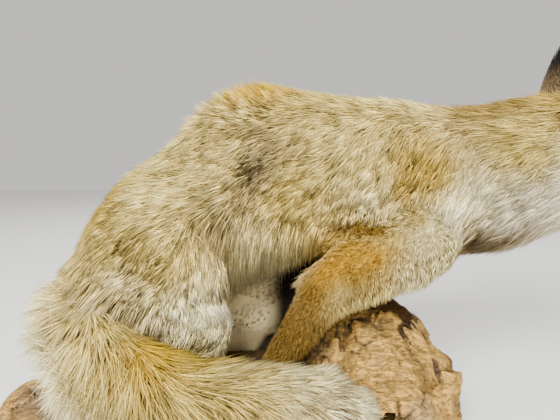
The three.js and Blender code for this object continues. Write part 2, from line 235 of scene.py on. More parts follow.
def trunk_bones():
    spine = [
        ((205, 0, 275), 78, 17),
        ((150, 0, 277), TRUNK_RADIUS, 15),
        ((75, 0, BACK_HEIGHT - 86), 83, 15),
        ((40, 0, BACK_HEIGHT - 80), 82, 15),
        ((12, 0, BACK_HEIGHT - 80), 77, 15),
        ((-76, 0, 231), 69, 15),
        ((-128, 0, 197), 53, 15),
    ]
    chest = bone([165, 0, 248], 76, [60, 0, 262], 72, 0.74, coat=17)
    belly = bone([-15, 0, 234], 71, [40, 0, 252], 70, 0.78, coat=19)
    return [*chain(spine, [TRUNK_FLAT] * 4 + [0.82, 0.9]), chest, belly]


def neck_bones():
    joints = [((205, 0, 275), 78, 17), ((258, 0, 277), 80, 22), ((318, -2, 296), 77, 24)]
    return chain(joints, [0.8, 0.86])


def head_bones():
    bones = [
        head_bone([-10, 0, -2], 40, [-30, 0, -6], 42, 1.18, coat=7, coat_b=9),
        head_bone([-34, 0, -26], 54, [-56, 0, -26], 60, coat=18, coat_b=22),
        head_bone([16, 0, 2], 31, [32, 0, 0], 27, 1.08, coat=5, coat_b=3.5),
        head_bone([40, 0, -10], 24, [64, 0, -15], 18.5, 0.98, coat=3, coat_b=2.5),
        head_bone([64, 0, -15], 18.5, [95, 0, -18.5], 13, 0.98, coat=2.5, coat_b=2),
        head_bone([34, 0, -32], 20, [88, 0, -30], 10.5, coat=4, coat_b=2),
        head_bone([14, 0, -40], 28, [-24, 0, -50], 38, 1.1, coat=10, coat_b=20),
    ]
    for _, side in SIDES:
        bones += [
            head_bone([24, side * 19, -18], 22, [-4, side * 34, -24], 29, coat=5, coat_b=14),
            head_bone([-4, side * 34, -24], 29, [-28, side * 40, -40], 31, coat=14, coat_b=22),
            head_bone([26, side * 17, 12], 11, [40, side * 15, 8], 7.5, coat=2.5, coat_b=2),
            head_bone([30, side * 13, -20], 18, [60, side * 6, -20], 13.5, coat=3, coat_b=2),
            head_bone([-34, side * 33, 20], 20, [-32, side * 32, 28], 17, coat=6, coat_b=5),
        ]
    return bones


# The middle line of the tail and the radius of its brush.
TAIL_LINE = [
    ((-134, 0, 200), 26), ((-163, -36, 172), 27), ((-149, -72, 141), 38), ((-116, -100, 112), 47),
    ((-73, -118, 97), 48), ((-28, -128, 91), 45), ((15, -131, 92), 44), ((52, -132, 92), 42),
    ((80, -131, 89), 36), ((98, -129, 83), 24), ((112, -127, 78), 9),
]
TAIL_CORE = 14.0  # the most that the tail's skin measures in radius


def tail_bones():
    joints = []
    for place, radius in TAIL_LINE:
        core = max(3.0, min(TAIL_CORE, radius * 0.36))
        joints.append((place, radius, radius - core))
    return chain(joints, [1.0] * len(joints))


def limb_bones():
    return {
        "thigh_right": [
            bone([-86, -36, 216], 66, [-62, -42, 196], 58, 0.74, coat=15),
            *chain(
                [((-104, -42, 194), 62, 15), ((-34, -57, 136), 30, 13), ((-27, -60, 112), 15, 11)],
                [0.8, 1.0],
            ),
        ],
        "shank_right": [bone([-36, -57, 130], 25, [-118, -52, 103], 15, coat=9, coat_b=5)],
        "hind_paw_right": [
            bone([-118, -52, 98], 17, [-46, -54, 92], 14, coat=5, coat_b=4),
            bone([-46, -54, 92], 15, [-18, -55, 90], 12, coat=4, coat_b=3),
        ],
        "thigh_left": [
            bone([-80, 36, 226], 66, [-52, 40, 205], 56, 0.72, coat=15),
            bone([-52, 40, 205], 54, [58, 46, 140], 31, 0.82, coat=12, coat_b=4),
            bone([10, 36, 188], 44, [78, 42, 162], 28, coat=8, coat_b=5),
            bone([22, 46, 122], 26, [-34, 46, 106], 26, coat=2.5),
        ],
        "shank_left": [bone([60, 46, 133], 30, [-25, 51, 81], 21, coat=2.5)],
        "hind_paw_left": [
            bone([-26, 52, 72], 18, [46, 55, 62], 15, coat=4),
            bone([46, 55, 62], 16, [74, 56, 60], 12.5, coat=4, coat_b=3),
        ],
        "upper_arm_right": chain(
            [((172, -26, 268), 44, 13), ((172, -42, 222), 47, 11), ((84, -58, 176), 28, 7)],
            [0.8, 1.0],
        ),
        "forearm_right": [bone([80, -60, 170], 23, [24, -62, 82], 13.5, coat=6, coat_b=4)],
        "fore_paw_right": chain(
            [((25, -62, 78), 14, 4), ((52, -64, 64), 16, 3), ((74, -65, 60), 12, 3)], [1.0, 1.0]
        ),
        "upper_arm_left": chain(
            [((172, 26, 268), 44, 13), ((174, 42, 222), 45, 11), ((98, 52, 172), 26, 7)],
            [0.8, 1.0],
        ),
        "forearm_left": [bone([98, 52, 168], 22, [132, 10, 149], 14, coat=6, coat_b=4)],
        "fore_paw_left": chain(
            [((132, 10, 148), 14, 4), ((152, -6, 136), 15.5, 3), ((171, -17, 130), 12, 3)],
            [1.0, 1.0],
        ),
    }


BODY_MELT = 15
# Each group of bones, and how softly its bones melt together.
GROUPS = {
    "trunk": (trunk_bones(), BODY_MELT),
    "neck": (neck_bones(), BODY_MELT),
    "head": (head_bones(), 9),
    "tail": (tail_bones(), 10),
    **{name: (bones, 8) for name, bones in limb_bones().items()},
}
GROUP_NAMES = list(GROUPS)
BODY = ("trunk", "neck", "head")
THIGHS = ("thigh_right", "thigh_left")
FOLDED = (*THIGHS, "hind_paw_left")
SKIN_MELT = 13  # how softly the groups melt together in the skin
FOLD_MELT = 26  # and the thighs into the flanks, whose hair bridges the fold between them

WOOD = [
    bone([-206, -50, ROOT_HEIGHT - 36], 37, [-24, -56, ROOT_HEIGHT - 44], 38),
    bone([-130, 20, 8], 60, [110, 10, 10], 74),
    bone([140, -28, 44], 74, [156, -18, 40], 70),
    bone([112, 16, BURL_HEIGHT - 54], 52, [152, 2, BURL_HEIGHT - 57], 54),
    bone([182, -34, 34], 42, [196, -26, 24], 38),
    bone([-110, 56, 22], 34, [-196, 74, 36], 22),
    bone([150, 60, 30], 40, [196, 84, 44], 24),
    bone([204, -38, 88], 14, [210, -40, 88], 12),
]
WOOD_MELT = 24
WOOD_LUMP_HEIGHT = 3.4
WOOD_LUMP_LENGTH = 21


# ------------------------------------------------------------------ distance fields
FAR = 60.0  # on a grid, stands for far outside
NEAR = 24.0  # on a grid, a bone is worked out this far around it
WOOD_GAP = 0.6  # between the wood and what lies on it


def melt(d1, d2, width):
    """Joins two distances, rounded off where they differ by less than width."""
    h = np.maximum(width - np.abs(d1 - d2), 0)
    return np.minimum(d1, d2) - h * h / (4 * width)


def distance(points, one, inset):
    """Signed distance to a bone. inset is 0 for the coat's outline and 1 for the skin."""
    along = one.b - one.a
    length2 = along @ along
    away = points - one.a
    t = np.clip(away @ along / length2, 0, 1) if length2 > 0 else np.zeros(points.shape[:-1])
    x = away[..., 0] - t * along[0]
    y = (away[..., 1] - t * along[1]) / one.flat
    z = away[..., 2] - t * along[2]
    radius_a = one.ra - inset * one.coat_a
    radius_b = one.rb - inset * one.coat_b
    return np.sqrt(x * x + y * y + z * z) - (radius_a + t * (radius_b - radius_a))


def melted(points, bones, width, inset):
    """Signed distance to bones that melt together."""
    d = np.full(points.shape[:-1], 1e4)
    for one in bones:
        d = melt(d, distance(points, one, inset), width)
    return d


def group_field(points, name, inset):
    return melted(points, *GROUPS[name], inset)


def coat_field(points):
    """Distance to the outline of the coat, as in the solids."""
    body = melted(points, GROUPS["trunk"][0] + GROUPS["neck"][0], BODY_MELT, 0)
    outline = melt(group_field(points, "head", 0), body, BODY_MELT)
    for name in THIGHS:
        outline = melt(outline, group_field(points, name, 0), FOLD_MELT)
    for name in GROUP_NAMES:
        if name not in (*BODY, *THIGHS):
            outline = np.minimum(outline, group_field(points, name, 0))
    return outline


def wood_lumps(points):
    """How far the wood's broad lumps stand out."""
    x, y, z = points[..., 0], points[..., 1], points[..., 2]
    length = WOOD_LUMP_LENGTH
    swirl = np.sin(y / (1.9 * length) + 1.3) * 1.4
    first = np.sin(x / (2.1 * length) + swirl) * np.cos(z / (1.2 * length) + swirl)
    second = np.sin(y / length - x / (2.6 * length)) * np.sin(z / (0.9 * length) + 0.7)
    return WOOD_LUMP_HEIGHT * (first + 0.7 * second)


def wood_field(points):
    return melted(points, WOOD, WOOD_MELT, 0) - wood_lumps(points)


def slope(field, points):
    """The gradient of a field."""
    step = 0.4
    columns = []
    for axis in range(3):
        offset = np.zeros(3)
        offset[axis] = step
        columns.append((field(points + offset) - field(points - offset)) / (2 * step))
    return np.stack(columns, axis=1)


# ------------------------------------------------------------------ details of the skin
# Each paw: a place between the roots of its toes, the way it points, and which way is up.
PAWS = (
    ((70, -65, 60), (1, 0, -0.1), (0, 0, 1)),  # right fore paw
    ((166, -13, 131.5), (0.87, -0.5, -0.28), (0.3, -0.1, 1)),  # left fore paw
    ((-24, -55, 90), (1, 0, -0.06), (0, 0, 1)),  # right hind paw
    ((68, 56, 61), (1, 0, -0.06), (0, 0, 1)),  # left hind paw
)
TOE_PLACES = (-1.5, -0.5, 0.5, 1.5)  # across the paw, in spacings
TOE_SPACING = 5.2
TOE_SPLAY = 1.1  # how much further apart the toes' ends are
TOE_TURN = 0.07  # and how much they turn outward
TOE_BACK = 7  # how far behind that place a toe starts
TOE_REACH = {0.5: 12.5, 1.5: 8.5}  # and how far before it the inner and the outer toes end
Toe = namedtuple("Toe", "bone tip heading above")


def make_toes():
    toes = []
    for at, forward, up in PAWS:
        forward = unit(np.array(forward, float))
        across = unit(np.cross(up, forward))
        above = np.cross(forward, across)
        for n in TOE_PLACES:
            heading = unit(forward + TOE_TURN * n * across)
            start = np.array(at, float) + across * TOE_SPACING * n - forward * TOE_BACK - above
            length = TOE_REACH[abs(n)] + TOE_BACK
            end = start + across * TOE_SPLAY * n + heading * length - above * 2.2
            tip = end + heading * 4.6 + above * 1.6
            toes.append(Toe(bone(start, 5.6, end, 5.4), tip, heading, above))
    return toes


TOES = make_toes()
# The parting of the lips on the left, from the nose back, in the head's frame.
LIP_LINE = [
    (97, 5.0, -26.5), (90, 11.0, -27), (78, 14.5, -28.5), (64, 17.5, -29.5), (50, 21.0, -30),
    (41, 24.5, -28),
]
LIP_RADIUS = 0.9
ORBIT_RADIUS = EYE_RADIUS + 1.6


def eye_centre(side):
    return in_head(on_side(EYE_AT, side))


def eye_axes(side):
    """Where the eye looks, and the directions to its outer corner and its upper lid."""
    gaze = unit(head_direction(on_side(EYE_GAZE, side)))
    outer = head_direction(on_side(EYE_OUTER_CORNER, side))
    outer = unit(outer - (outer @ gaze) * gaze)
    return gaze, outer, np.cross(gaze, outer) * side


def lip_bones(side):
    points = [in_head(on_side(place, side)) for place in LIP_LINE]
    return [bone(a, LIP_RADIUS, b, LIP_RADIUS) for a, b in zip(points, points[1:])]


# One step of making a shape: it adds or carves bones, which melt together by own_width and melt
# into what is there by width.
Step = namedtuple("Step", "adds bones own_width width")


def skin_steps():
    steps = []
    for name, (bones, width) in GROUPS.items():
        steps.append(Step(True, bones, width, FOLD_MELT if name in FOLDED else SKIN_MELT))
    steps.append(Step(True, [toe.bone for toe in TOES], 1, 3))
    for _, side in SIDES:
        socket = eye_centre(side) + eye_axes(side)[0] * 1.2
        steps.append(Step(False, [bone(socket, ORBIT_RADIUS, socket, ORBIT_RADIUS)], 1, 3))
        steps.append(Step(False, lip_bones(side), 1, 1.6))
    return steps


SKIN_STEPS = skin_steps()
WOOD_STEPS = [Step(True, WOOD, WOOD_MELT, 1)]


def take(d, part, step):
    """Adds a part to a field, or carves it out."""
    return melt(d, part, step.width) if step.adds else -melt(-d, part, step.width)


def steps_field(points, steps, inset):
    d = np.full(points.shape[:-1], 1e4)
    for step in steps:
        d = take(d, melted(points, step.bones, step.own_width, inset), step)
    return d


def skin_field(points):
    """The skin. The feet, and whatever else lies on the wood, are flat against it."""
    return np.maximum(steps_field(points, SKIN_STEPS, 1), -(wood_field(points) + WOOD_GAP))


# ------------------------------------------------------------------ wrapping a field in a mesh
def block_near(bones, axes):
    """The stretch of each grid axis that lies near some bones."""
    block = []
    for n, axis in enumerate(axes):
        reach = [max(one.ra, one.rb) * max(1, one.flat) + NEAR for one in bones]
        low = min(min(one.a[n], one.b[n]) - r for one, r in zip(bones, reach))
        high = max(max(one.a[n], one.b[n]) + r for one, r in zip(bones, reach))
        block.append(slice(*np.searchsorted(axis, (low, high))))
    return tuple(block)


def grid_points(axes, block):
    return np.stack(np.meshgrid(*[a[b] for a, b in zip(axes, block)], indexing="ij"), axis=-1)


def field_on_grid(steps, axes, inset):
    grid = np.full([len(axis) for axis in axes], FAR)
    for step in steps:
        whole = block_near(step.bones, axes)
        part = np.full(grid.shape, FAR)
        for one in step.bones:
            block = block_near([one], axes)
            near = distance(grid_points(axes, block), one, inset)
            part[block] = melt(part[block], near, step.own_width)
        grid[whole] = take(grid[whole], part[whole], step)
    return grid


def surface_nets(values, axes):
    """One vertex for each grid cell that the surface crosses, and a quad for each grid edge."""
    inside = values < 0
    shape = inside.shape
    count = np.zeros([s - 1 for s in shape], np.int8)
    for corner in CORNERS:
        count += inside[tuple(slice(c, s - 1 + c) for c, s in zip(corner, shape))]
    cells = np.array(np.nonzero((count > 0) & (count < 8)))
    vertex_of = np.full(count.shape, -1)
    vertex_of[tuple(cells)] = np.arange(cells.shape[1])
    total = np.zeros((cells.shape[1], 3))
    crossings = np.zeros(cells.shape[1])
    for n, start in enumerate(CORNERS):
        for axis in range(3):
            if start[axis]:
                continue
            first = cells + start[:, None]
            second = cells + CORNERS[n | 1 << axis][:, None]
            v0, v1 = values[tuple(first)], values[tuple(second)]
            crossed = (v0 < 0) != (v1 < 0)
            t = np.where(crossed, v0 / np.where(crossed, v0 - v1, 1), 0)
            p0 = np.stack([axes[k][first[k]] for k in range(3)], axis=1)
            p1 = np.stack([axes[k][second[k]] for k in range(3)], axis=1)
            total += np.where(crossed[:, None], blend(p0, p1, t[:, None]), 0)
            crossings += crossed
    quads = [net_quads(inside, vertex_of, axis) for axis in range(3)]
    return total / crossings[:, None], np.concatenate(quads)


def net_quads(inside, vertex_of, axis):
    """A quad round each grid edge along axis whose ends lie on either side of the surface."""
    u, v = (axis + 1) % 3, (axis + 2) % 3
    here = [slice(1, -1)] * 3
    here[axis] = slice(0, -1)
    there = list(here)
    there[axis] = slice(1, None)
    lower, upper = inside[tuple(here)], inside[tuple(there)]
    at = np.array(np.nonzero(lower != upper))
    outward = lower[tuple(at)]
    at[u] += 1
    at[v] += 1
    ring = []
    for back_u, back_v in ((1, 1), (0, 1), (0, 0), (1, 0)):
        cell = at.copy()
        cell[u] -= back_u
        cell[v] -= back_v
        ring.append(vertex_of[tuple(cell)])
    quad = np.stack(ring, axis=1)
    return np.where(outward[:, None], quad, quad[:, ::-1])


def draw_onto(field, points, most):
    """Moves points onto the surface of a field in two turns, by no more than most."""
    start = points
    for _ in range(2):
        g = slope(field, points)
        size2 = np.maximum((g * g).sum(axis=1), 0.2)
        points = points - (field(points) / size2)[:, None] * g
        points = start + np.clip(points - start, -most, most)
    return points


def stretches(*pieces):
    """A grid axis in stretches of (start, end, spacing)."""
    return np.concatenate([np.arange(a, b, spacing) for a, b, spacing in pieces])


def normals_of(vertices, quads):
    a, b, c, d = (vertices[quads[:, n]] for n in range(4))
    face = np.cross(c - a, d - b)
    total = np.zeros_like(vertices)
    for n in range(4):
        for axis in range(3):
            total[:, axis] += np.bincount(quads[:, n], face[:, axis], len(vertices))
    return unit(total)


# ------------------------------------------------------------------ meshes
def new_mesh(name, vertices, faces):
    """vertices in millimetres; faces is an array of triangles or of quads."""
    mesh = bpy.data.meshes.new(name)
    corners = faces.shape[1]
    mesh.vertices.add(len(vertices))
    mesh.vertices.foreach_set("co", (np.asarray(vertices, np.float32) * MM).ravel())
    mesh.loops.add(faces.size)
    mesh.loops.foreach_set("vertex_index", faces.astype(np.int32).ravel())
    mesh.polygons.add(len(faces))
    mesh.polygons.foreach_set("loop_start", np.arange(len(faces), dtype=np.int32) * corners)
    mesh.update(calc_edges=True)
    mesh.polygons.foreach_set("use_smooth", np.ones(len(faces), bool))
    obj = bpy.data.objects.new(name, mesh)
    bpy.context.collection.objects.link(obj)
    return obj


def paint(obj, colours, name="Coat"):
    """Linear colours, one for each vertex."""
    layer = obj.data.color_attributes.new(name, "FLOAT_COLOR", "POINT")
    rgba = np.ones((len(colours), 4), np.float32)
    rgba[:, :3] = colours
    layer.data.foreach_set("color", rgba.ravel())


def finish_piece(obj, slot, material, *nodes):
    """Gives a piece its material and body, and hides the nodes that it replaces. slot is not used."""
    obj.data.materials.append(material)
    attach(obj, "root")
    if nodes:
        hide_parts(*nodes)


def grid_faces(rows, columns, closed):
    """Quads between rows of points; closed joins each row's end to its start."""
    r = np.arange(rows - 1)[:, None]
    c = np.arange(columns if closed else columns - 1)[None, :]
    n = (c + 1) % columns
    a, b = r * columns + c, r * columns + n
    return np.stack([a, b, b + columns, a + columns], axis=-1).reshape(-1, 4)


# ------------------------------------------------------------------ ears
EAR_ROWS = 26
EAR_COLUMNS = 20
EAR_COAT = 4.0  # the skin of the ear lies this far inside the outline of its hair
EAR_WRAP_ROOT = 118  # degrees that the cup goes round to each side at its root
EAR_WRAP_TIP = 84


def ear_point(side, v, angle, shrink):
    """A point of the ear, v up from its root to its tip and angle round the back of the cup."""
    up, opening = unit(on_side(EAR_UP, side)), on_side(EAR_OPENING, side)
    opening = unit(opening - (opening @ up) * up)
    across = np.cross(up, opening)
    half = EAR_HALF_WIDTH * max(1 - v**1.75, 0) ** 0.78 + 1.8
    depth = half * (0.92 - 0.42 * v)
    wide = max(half - shrink, 0.4) * np.sin(angle)
    back = max(depth - 0.8 * shrink, 0.3) * np.cos(angle)
    lean = 6 * v * v - back
    middle = on_side(EAR_ROOT, side) + (v * (EAR_HEIGHT + EAR_SUNK) - EAR_SUNK) * up
    return in_head(middle + np.multiply.outer(wide, across) + np.multiply.outer(lean, opening))


def ear(side):
    """A closed cupped shell: vertices, quads, and each vertex's height, turn and face, which is
    0 on the back and 1 inside. Each row goes round the back of the cup and returns inside it."""
    s = np.linspace(-1, 1, EAR_COLUMNS)
    rows, facts = [], []
    for v in np.linspace(0, 0.985, EAR_ROWS):
        turn = math.radians(blend(EAR_WRAP_ROOT, EAR_WRAP_TIP, v))
        shrink = EAR_COAT * (1 - 0.7 * v)
        back = ear_point(side, v, s * turn, shrink)
        inside = ear_point(side, v, s[::-1] * turn, shrink + EAR_THICKNESS * (1 - 0.75 * v))
        rows.append(np.concatenate([back, inside]))
        height, face = np.full(2 * EAR_COLUMNS, v), np.repeat([0, 1], EAR_COLUMNS)
        facts.append(np.stack([height, np.r_[s, s[::-1]], face], axis=1))
    quads = grid_faces(EAR_ROWS, 2 * EAR_COLUMNS, True)
    pair = np.arange(EAR_COLUMNS - 1)
    caps = []
    for row in (0, EAR_ROWS - 1):
        first = row * 2 * EAR_COLUMNS
        other = first + 2 * EAR_COLUMNS - 1
        cap = np.stack([first + pair, first + pair + 1, other - pair - 1, other - pair], axis=1)
        caps.append(cap if row else cap[:, ::-1])
    quads = np.concatenate([quads, *caps])
    return np.concatenate(rows), quads[:, ::-1], np.concatenate(facts)


# ------------------------------------------------------------------ eyelids
LID_HALF_WIDTH = 53  # degrees of the eyeball from the middle of the opening to a corner
LID_HALF_HEIGHT = 30
LID_ALMOND = 1.55  # the power of the opening's outline, where 2 is an ellipse
LID_EDGE = 88  # degrees from there to the lids' outer edge, inside the face
LID_COLUMNS = 56
# The lid's section from its inner margin over its rim to the face: a share of the way from the
# opening to the outer edge, and height over the eyeball.
LID_SECTION = (
    (0.08, 0.15), (0.02, 0.2), (0, 0.55), (0.03, 0.95), (0.1, 1.25), (0.22, 1.45),
    (0.4, 1.6), (0.6, 1.7), (0.8, 1.8), (1.0, 1.9), (0.7, 0.2), (0.35, 0.15),
)
LID_RIM = 5  # this many rows of the section are bare and dark
LID_FURRED = 9  # and hair grows on the rows after them, up to this one
LID_COAT = 1.6


def round_the_gaze(side, columns):
    """Where the eye looks, angles round that, and the direction away from it at each angle."""
    gaze, outer, up = eye_axes(side)
    a = np.linspace(0, 2 * math.pi, columns, endpoint=False)
    return gaze, a, np.multiply.outer(np.cos(a), outer) + np.multiply.outer(np.sin(a), up)


def lid(side):
    """A closed ring round the eye's opening, which is an almond. Also tells each vertex's row."""
    gaze, a, away = round_the_gaze(side, LID_COLUMNS)
    across = np.abs(np.cos(a) / LID_HALF_WIDTH) ** LID_ALMOND
    upward = np.abs(np.sin(a) / LID_HALF_HEIGHT) ** LID_ALMOND
    reach = (across + upward) ** (-1 / LID_ALMOND)
    rows = []
    for share, height in LID_SECTION:
        polar = np.radians(blend(reach, LID_EDGE, share))[:, None]
        brow = 1 + 0.35 * np.clip(np.sin(a), 0, 1)[:, None]
        radius = EYE_RADIUS + height * (brow if height > 0.6 else 1)
        rows.append(eye_centre(side) + radius * (np.cos(polar) * gaze + np.sin(polar) * away))
    quads = grid_faces(len(rows) + 1, LID_COLUMNS, True) % (len(rows) * LID_COLUMNS)
    if side > 0:
        quads = quads[:, ::-1]
    row = np.repeat(np.arange(len(LID_SECTION)), LID_COLUMNS)
    return np.concatenate(rows), quads, row


# ------------------------------------------------------------------ markings and painted shade
MILK = (255, 241, 204)
WHITE = (230, 220, 194)
CREAM = (228, 215, 174)
STRAW = (214, 196, 146)
SAND = (189, 170, 120)
TAN = (176, 153, 100)
FAWN = (174, 146, 86)
RUST = (184, 146, 92)
DUN = (130, 112, 76)
DRAB = (156, 132, 84)
# painted shadow in the fold over the near arm
FOLD_SHADOW = (106, 82, 30)
SMOKE = (128, 116, 92)
BROWN = (140, 108, 62)
OCHRE = (137, 108, 40)
IVORY = (234, 221, 184)
# painted shade under the neck
THROAT_SHADE = (92, 77, 56)
GOLD = (178, 140, 30)
UMBER = (120, 98, 66)
ASH = (190, 177, 148)
DARK = (66, 49, 34)
BLACK = (24, 20, 18)
RIM = (20, 16, 14)
HORN = (40, 33, 30)

PALING = 0.82  # the power of their colour that the tips of the hair pale to
TIP_GLOW = 1.22  # and how much brighter they are
UNDERCOAT_AND_SHADE = (0.36, 0.29, 0.17)  # the roots of long hair against the colour over them: darker underfur, and painted shade deep in the coat
RICHNESS = 1.42  # the colours are this much more saturated than the palette's
# The inner side of the far hind leg has short, smooth hair.
SLEEK = (208, 188, 138)
SLEEK_DEPTH = 2.5
SLEEK_BOX = [(X, -48, -32), (Y, 0, 12), (Y, 56, 44), (Z, 196, 180)]
# Painted shade: the belly between the legs is painted near black, for the shade under the fox.
BELLY_SHADE = (24, 18, 12)
BELLY_SHADE_BOX = [(X, 15, 45), (X, 125, 100), (Y, -36, -26), (Y, 36, 26), (Z, 222, 208)]

# Colours of the body at points of its near side, and the far side mirrors them.
BODY_COLOURS = [
    ((-130, -40, 275), TAN), ((-104, -80, 228), SAND), ((-74, -84, 210), SAND),
    ((-60, -10, 330), STRAW), ((-70, -70, 265), STRAW), ((0, -66, 310), STRAW),
    ((20, 0, 368), FAWN), ((110, 0, 368), SAND), ((60, -65, 270), SAND), ((20, -70, 302), SMOKE),
    ((120, -65, 310), STRAW), ((130, -60, 235), TAN), ((30, -60, 215), CREAM),
    ((40, -55, 190), IVORY), ((103, -62, 253), STRAW), ((126, -66, 257), CREAM),
    ((50, 0, 185), CREAM), ((190, 0, 362), STRAW), ((190, -65, 300), TAN), ((226, -64, 270), MILK),
    ((255, -20, 360), DUN), ((300, -20, 365), DUN), ((285, -62, 325), SAND),
    # The dark grey-brown points under the neck are painted shade.
    ((285, -60, 250), WHITE), ((320, -50, 270), WHITE), ((238, -50, 210), THROAT_SHADE),
    ((290, -50, 218), THROAT_SHADE), ((260, 0, 198), THROAT_SHADE), ((300, 0, 215), WHITE), ((220, 0, 205), CREAM),
    ((-95, -85, 195), CREAM), ((-45, -80, 160), MILK), ((-30, -70, 125), MILK),
    ((-60, 0, 160), WHITE), ((-128, 0, 190), SAND), ((198, -80, 225), CREAM),
    ((172, -90, 225), CREAM), ((165, -85, 190), CREAM), ((146, -90, 232), SAND),
    ((106, -74, 220), GOLD), ((128, -84, 214), GOLD), ((112, -84, 196), OCHRE),
    ((84, -80, 202), GOLD), ((68, -80, 180), OCHRE), ((100, -80, 168), STRAW),
    ((132, -86, 176), STRAW), ((150, 0, 205), CREAM),
]
HEAD_COLOURS = [
    ((22, 0, 32), TAN), ((-10, 0, 42), SAND), ((-40, 0, 40), TAN), ((70, 0, 4), RUST),
    ((45, 0, 16), RUST), ((72, -16, -14), SAND), ((88, -10, -14), ASH), ((75, -15, -25), WHITE),
    ((90, -8, -26), WHITE), ((80, 0, -38), WHITE), ((45, 0, -52), WHITE), ((35, -28, -22), CREAM),
    ((28, -22, 20), RUST), ((0, -55, -10), STRAW), ((0, -56, -38), WHITE), ((-35, -70, -50), WHITE),
    ((-20, -52, 10), TAN), ((-40, -65, -10), STRAW), ((0, 0, -72), WHITE), ((-40, 0, -85), WHITE),
]
GROUP_COLOURS = {
    "shank_right": STRAW,
    "hind_paw_right": ASH,
    "shank_left": ASH,
    "hind_paw_left": ASH,
    "forearm_right": UMBER,
    "fore_paw_right": DARK,
    "forearm_left": UMBER,
    "fore_paw_left": DARK,
}
TAIL_COLOURS = [
    ((-160, -30, 195), TAN), ((-120, -75, 165), SAND), ((-85, -95, 142), FAWN),
    ((-50, -112, 138), TAN), ((-180, -45, 170), CREAM), ((-185, -85, 135), IVORY),
    ((-160, -125, 110), IVORY), ((-125, -125, 135), STRAW), ((-110, -150, 90), CREAM),
    ((-75, -160, 110), SAND), ((-60, -165, 80), STRAW), ((-20, -160, 115), SAND),
    ((-10, -170, 75), TAN), ((-10, -130, 137), STRAW), ((40, -170, 95), STRAW),
    ((50, -130, 134), CREAM), ((80, -155, 100), IVORY), ((105, -130, 85), IVORY),
    ((0, -90, 90), STRAW), ((-100, -70, 90), STRAW),
]
DARK_TIP = 0.13  # the dark tips of guard hair against the colour round them
SKIN_SHADE = 0.62  # the skin against the coat over it
# Places where dark-tipped guard hair stands up: centre, radius, share of the tufts.
BRUSHES = [
    ((-73, -84, 212), 27, 0.55), ((-79, -86, 190), 20, 0.4), ((-100, -84, 226), 26, 0.25),
    ((292, -60, 275), 66, 0.3), ((262, -60, 246), 58, 0.32), ((20, -66, 298), 22, 0.75),
    ((46, -68, 316), 14, 0.4), ((150, -66, 262), 16, 0.12), ((112, -84, 186), 28, 0.5),
    ((76, -80, 178), 18, 0.45), ((160, -88, 240), 32, 0.22), ((185, -68, 300), 30, 0.28),
]
# Soft stripes, some of them painted shadow, over the body's colours: from, to, half width, colour,
# strength.
STRIPES_AND_SHADOWS = [
    # painted shadow in the fold where the near arm meets the body
    ((108, -58, 239), (136, -71, 238), 5.5, FOLD_SHADOW, 0.95),
    ((157, -59, 319), (162, -72, 282), 10, DRAB, 0.5),
    ((162, -72, 282), (168, -79, 252), 9, DRAB, 0.6),
    # painted shade in the crook of the far hind leg
    ((18, 40, 68), (31, 41, 88), 8, BLACK, 0.97),
]


def linear(colour):
    """An sRGB colour of 0 to 255 in linear light."""
    c = np.asarray(colour, float) / 255
    return np.where(c <= 0.04045, c / 12.92, ((c + 0.055) / 1.055) ** 2.4)


def rich(colour):
    """A palette colour as it goes on the coat: linear, and more saturated."""
    c = linear(colour)
    grey = c @ np.array([0.3, 0.6, 0.1])
    return np.clip(grey + (c - grey) * RICHNESS, 0.004, 1)


def enriched(table):
    return [(place, rich(colour)) for place, colour in table]


def spread(points, table, falloff):
    """Blends the vectors that a table gives at its points, so that the nearest count most."""
    total, weight = 0, 0
    for at, value in table:
        w = 1 / (((points - np.array(at, float)) ** 2).sum(axis=1) + falloff**2) ** 2
        total = total + w[:, None] * np.asarray(value, float)
        weight = weight + w
    return total / weight[:, None]


def spread_mirrored(points, table, falloff, flips=False):
    """The same for a table of the near side, y < 0. flips says that the values are directions."""
    left = points[:, 1] > 0
    near = points * [1, -1, 1] * left[:, None] + points * ~left[:, None]
    value = spread(near, table, falloff)
    if flips:
        value[left, 1] *= -1
    return value


def tail_place(points):
    """How far each point is along the tail, from 0 to 1, the direction there, and its middle."""
    line = np.array([p for p, _ in TAIL_LINE], float)
    best = np.full(len(points), 1e9)
    along = np.zeros(len(points))
    toward, middle = np.zeros_like(points), np.zeros_like(points)
    for n, (a, b) in enumerate(zip(line, line[1:])):
        t = np.clip((points - a) @ (b - a) / ((b - a) @ (b - a)), 0, 1)
        at = a + t[:, None] * (b - a)
        d = ((points - at) ** 2).sum(axis=1)
        nearer = d < best
        best = np.where(nearer, d, best)
        along = np.where(nearer, (n + t) / (len(line) - 1), along)
        toward = np.where(nearer[:, None], unit(b - a), toward)
        middle = np.where(nearer[:, None], at, middle)
    return along, toward, middle


def group_colour(name, points):
    if name == "head":
        return spread_mirrored(to_head(points), enriched(HEAD_COLOURS), 9)
    if name == "tail":
        return spread(points, enriched(TAIL_COLOURS), 12)
    if name in GROUP_COLOURS:
        return np.tile(rich(GROUP_COLOURS[name]), (len(points), 1))
    return spread_mirrored(points, enriched(BODY_COLOURS), 14)


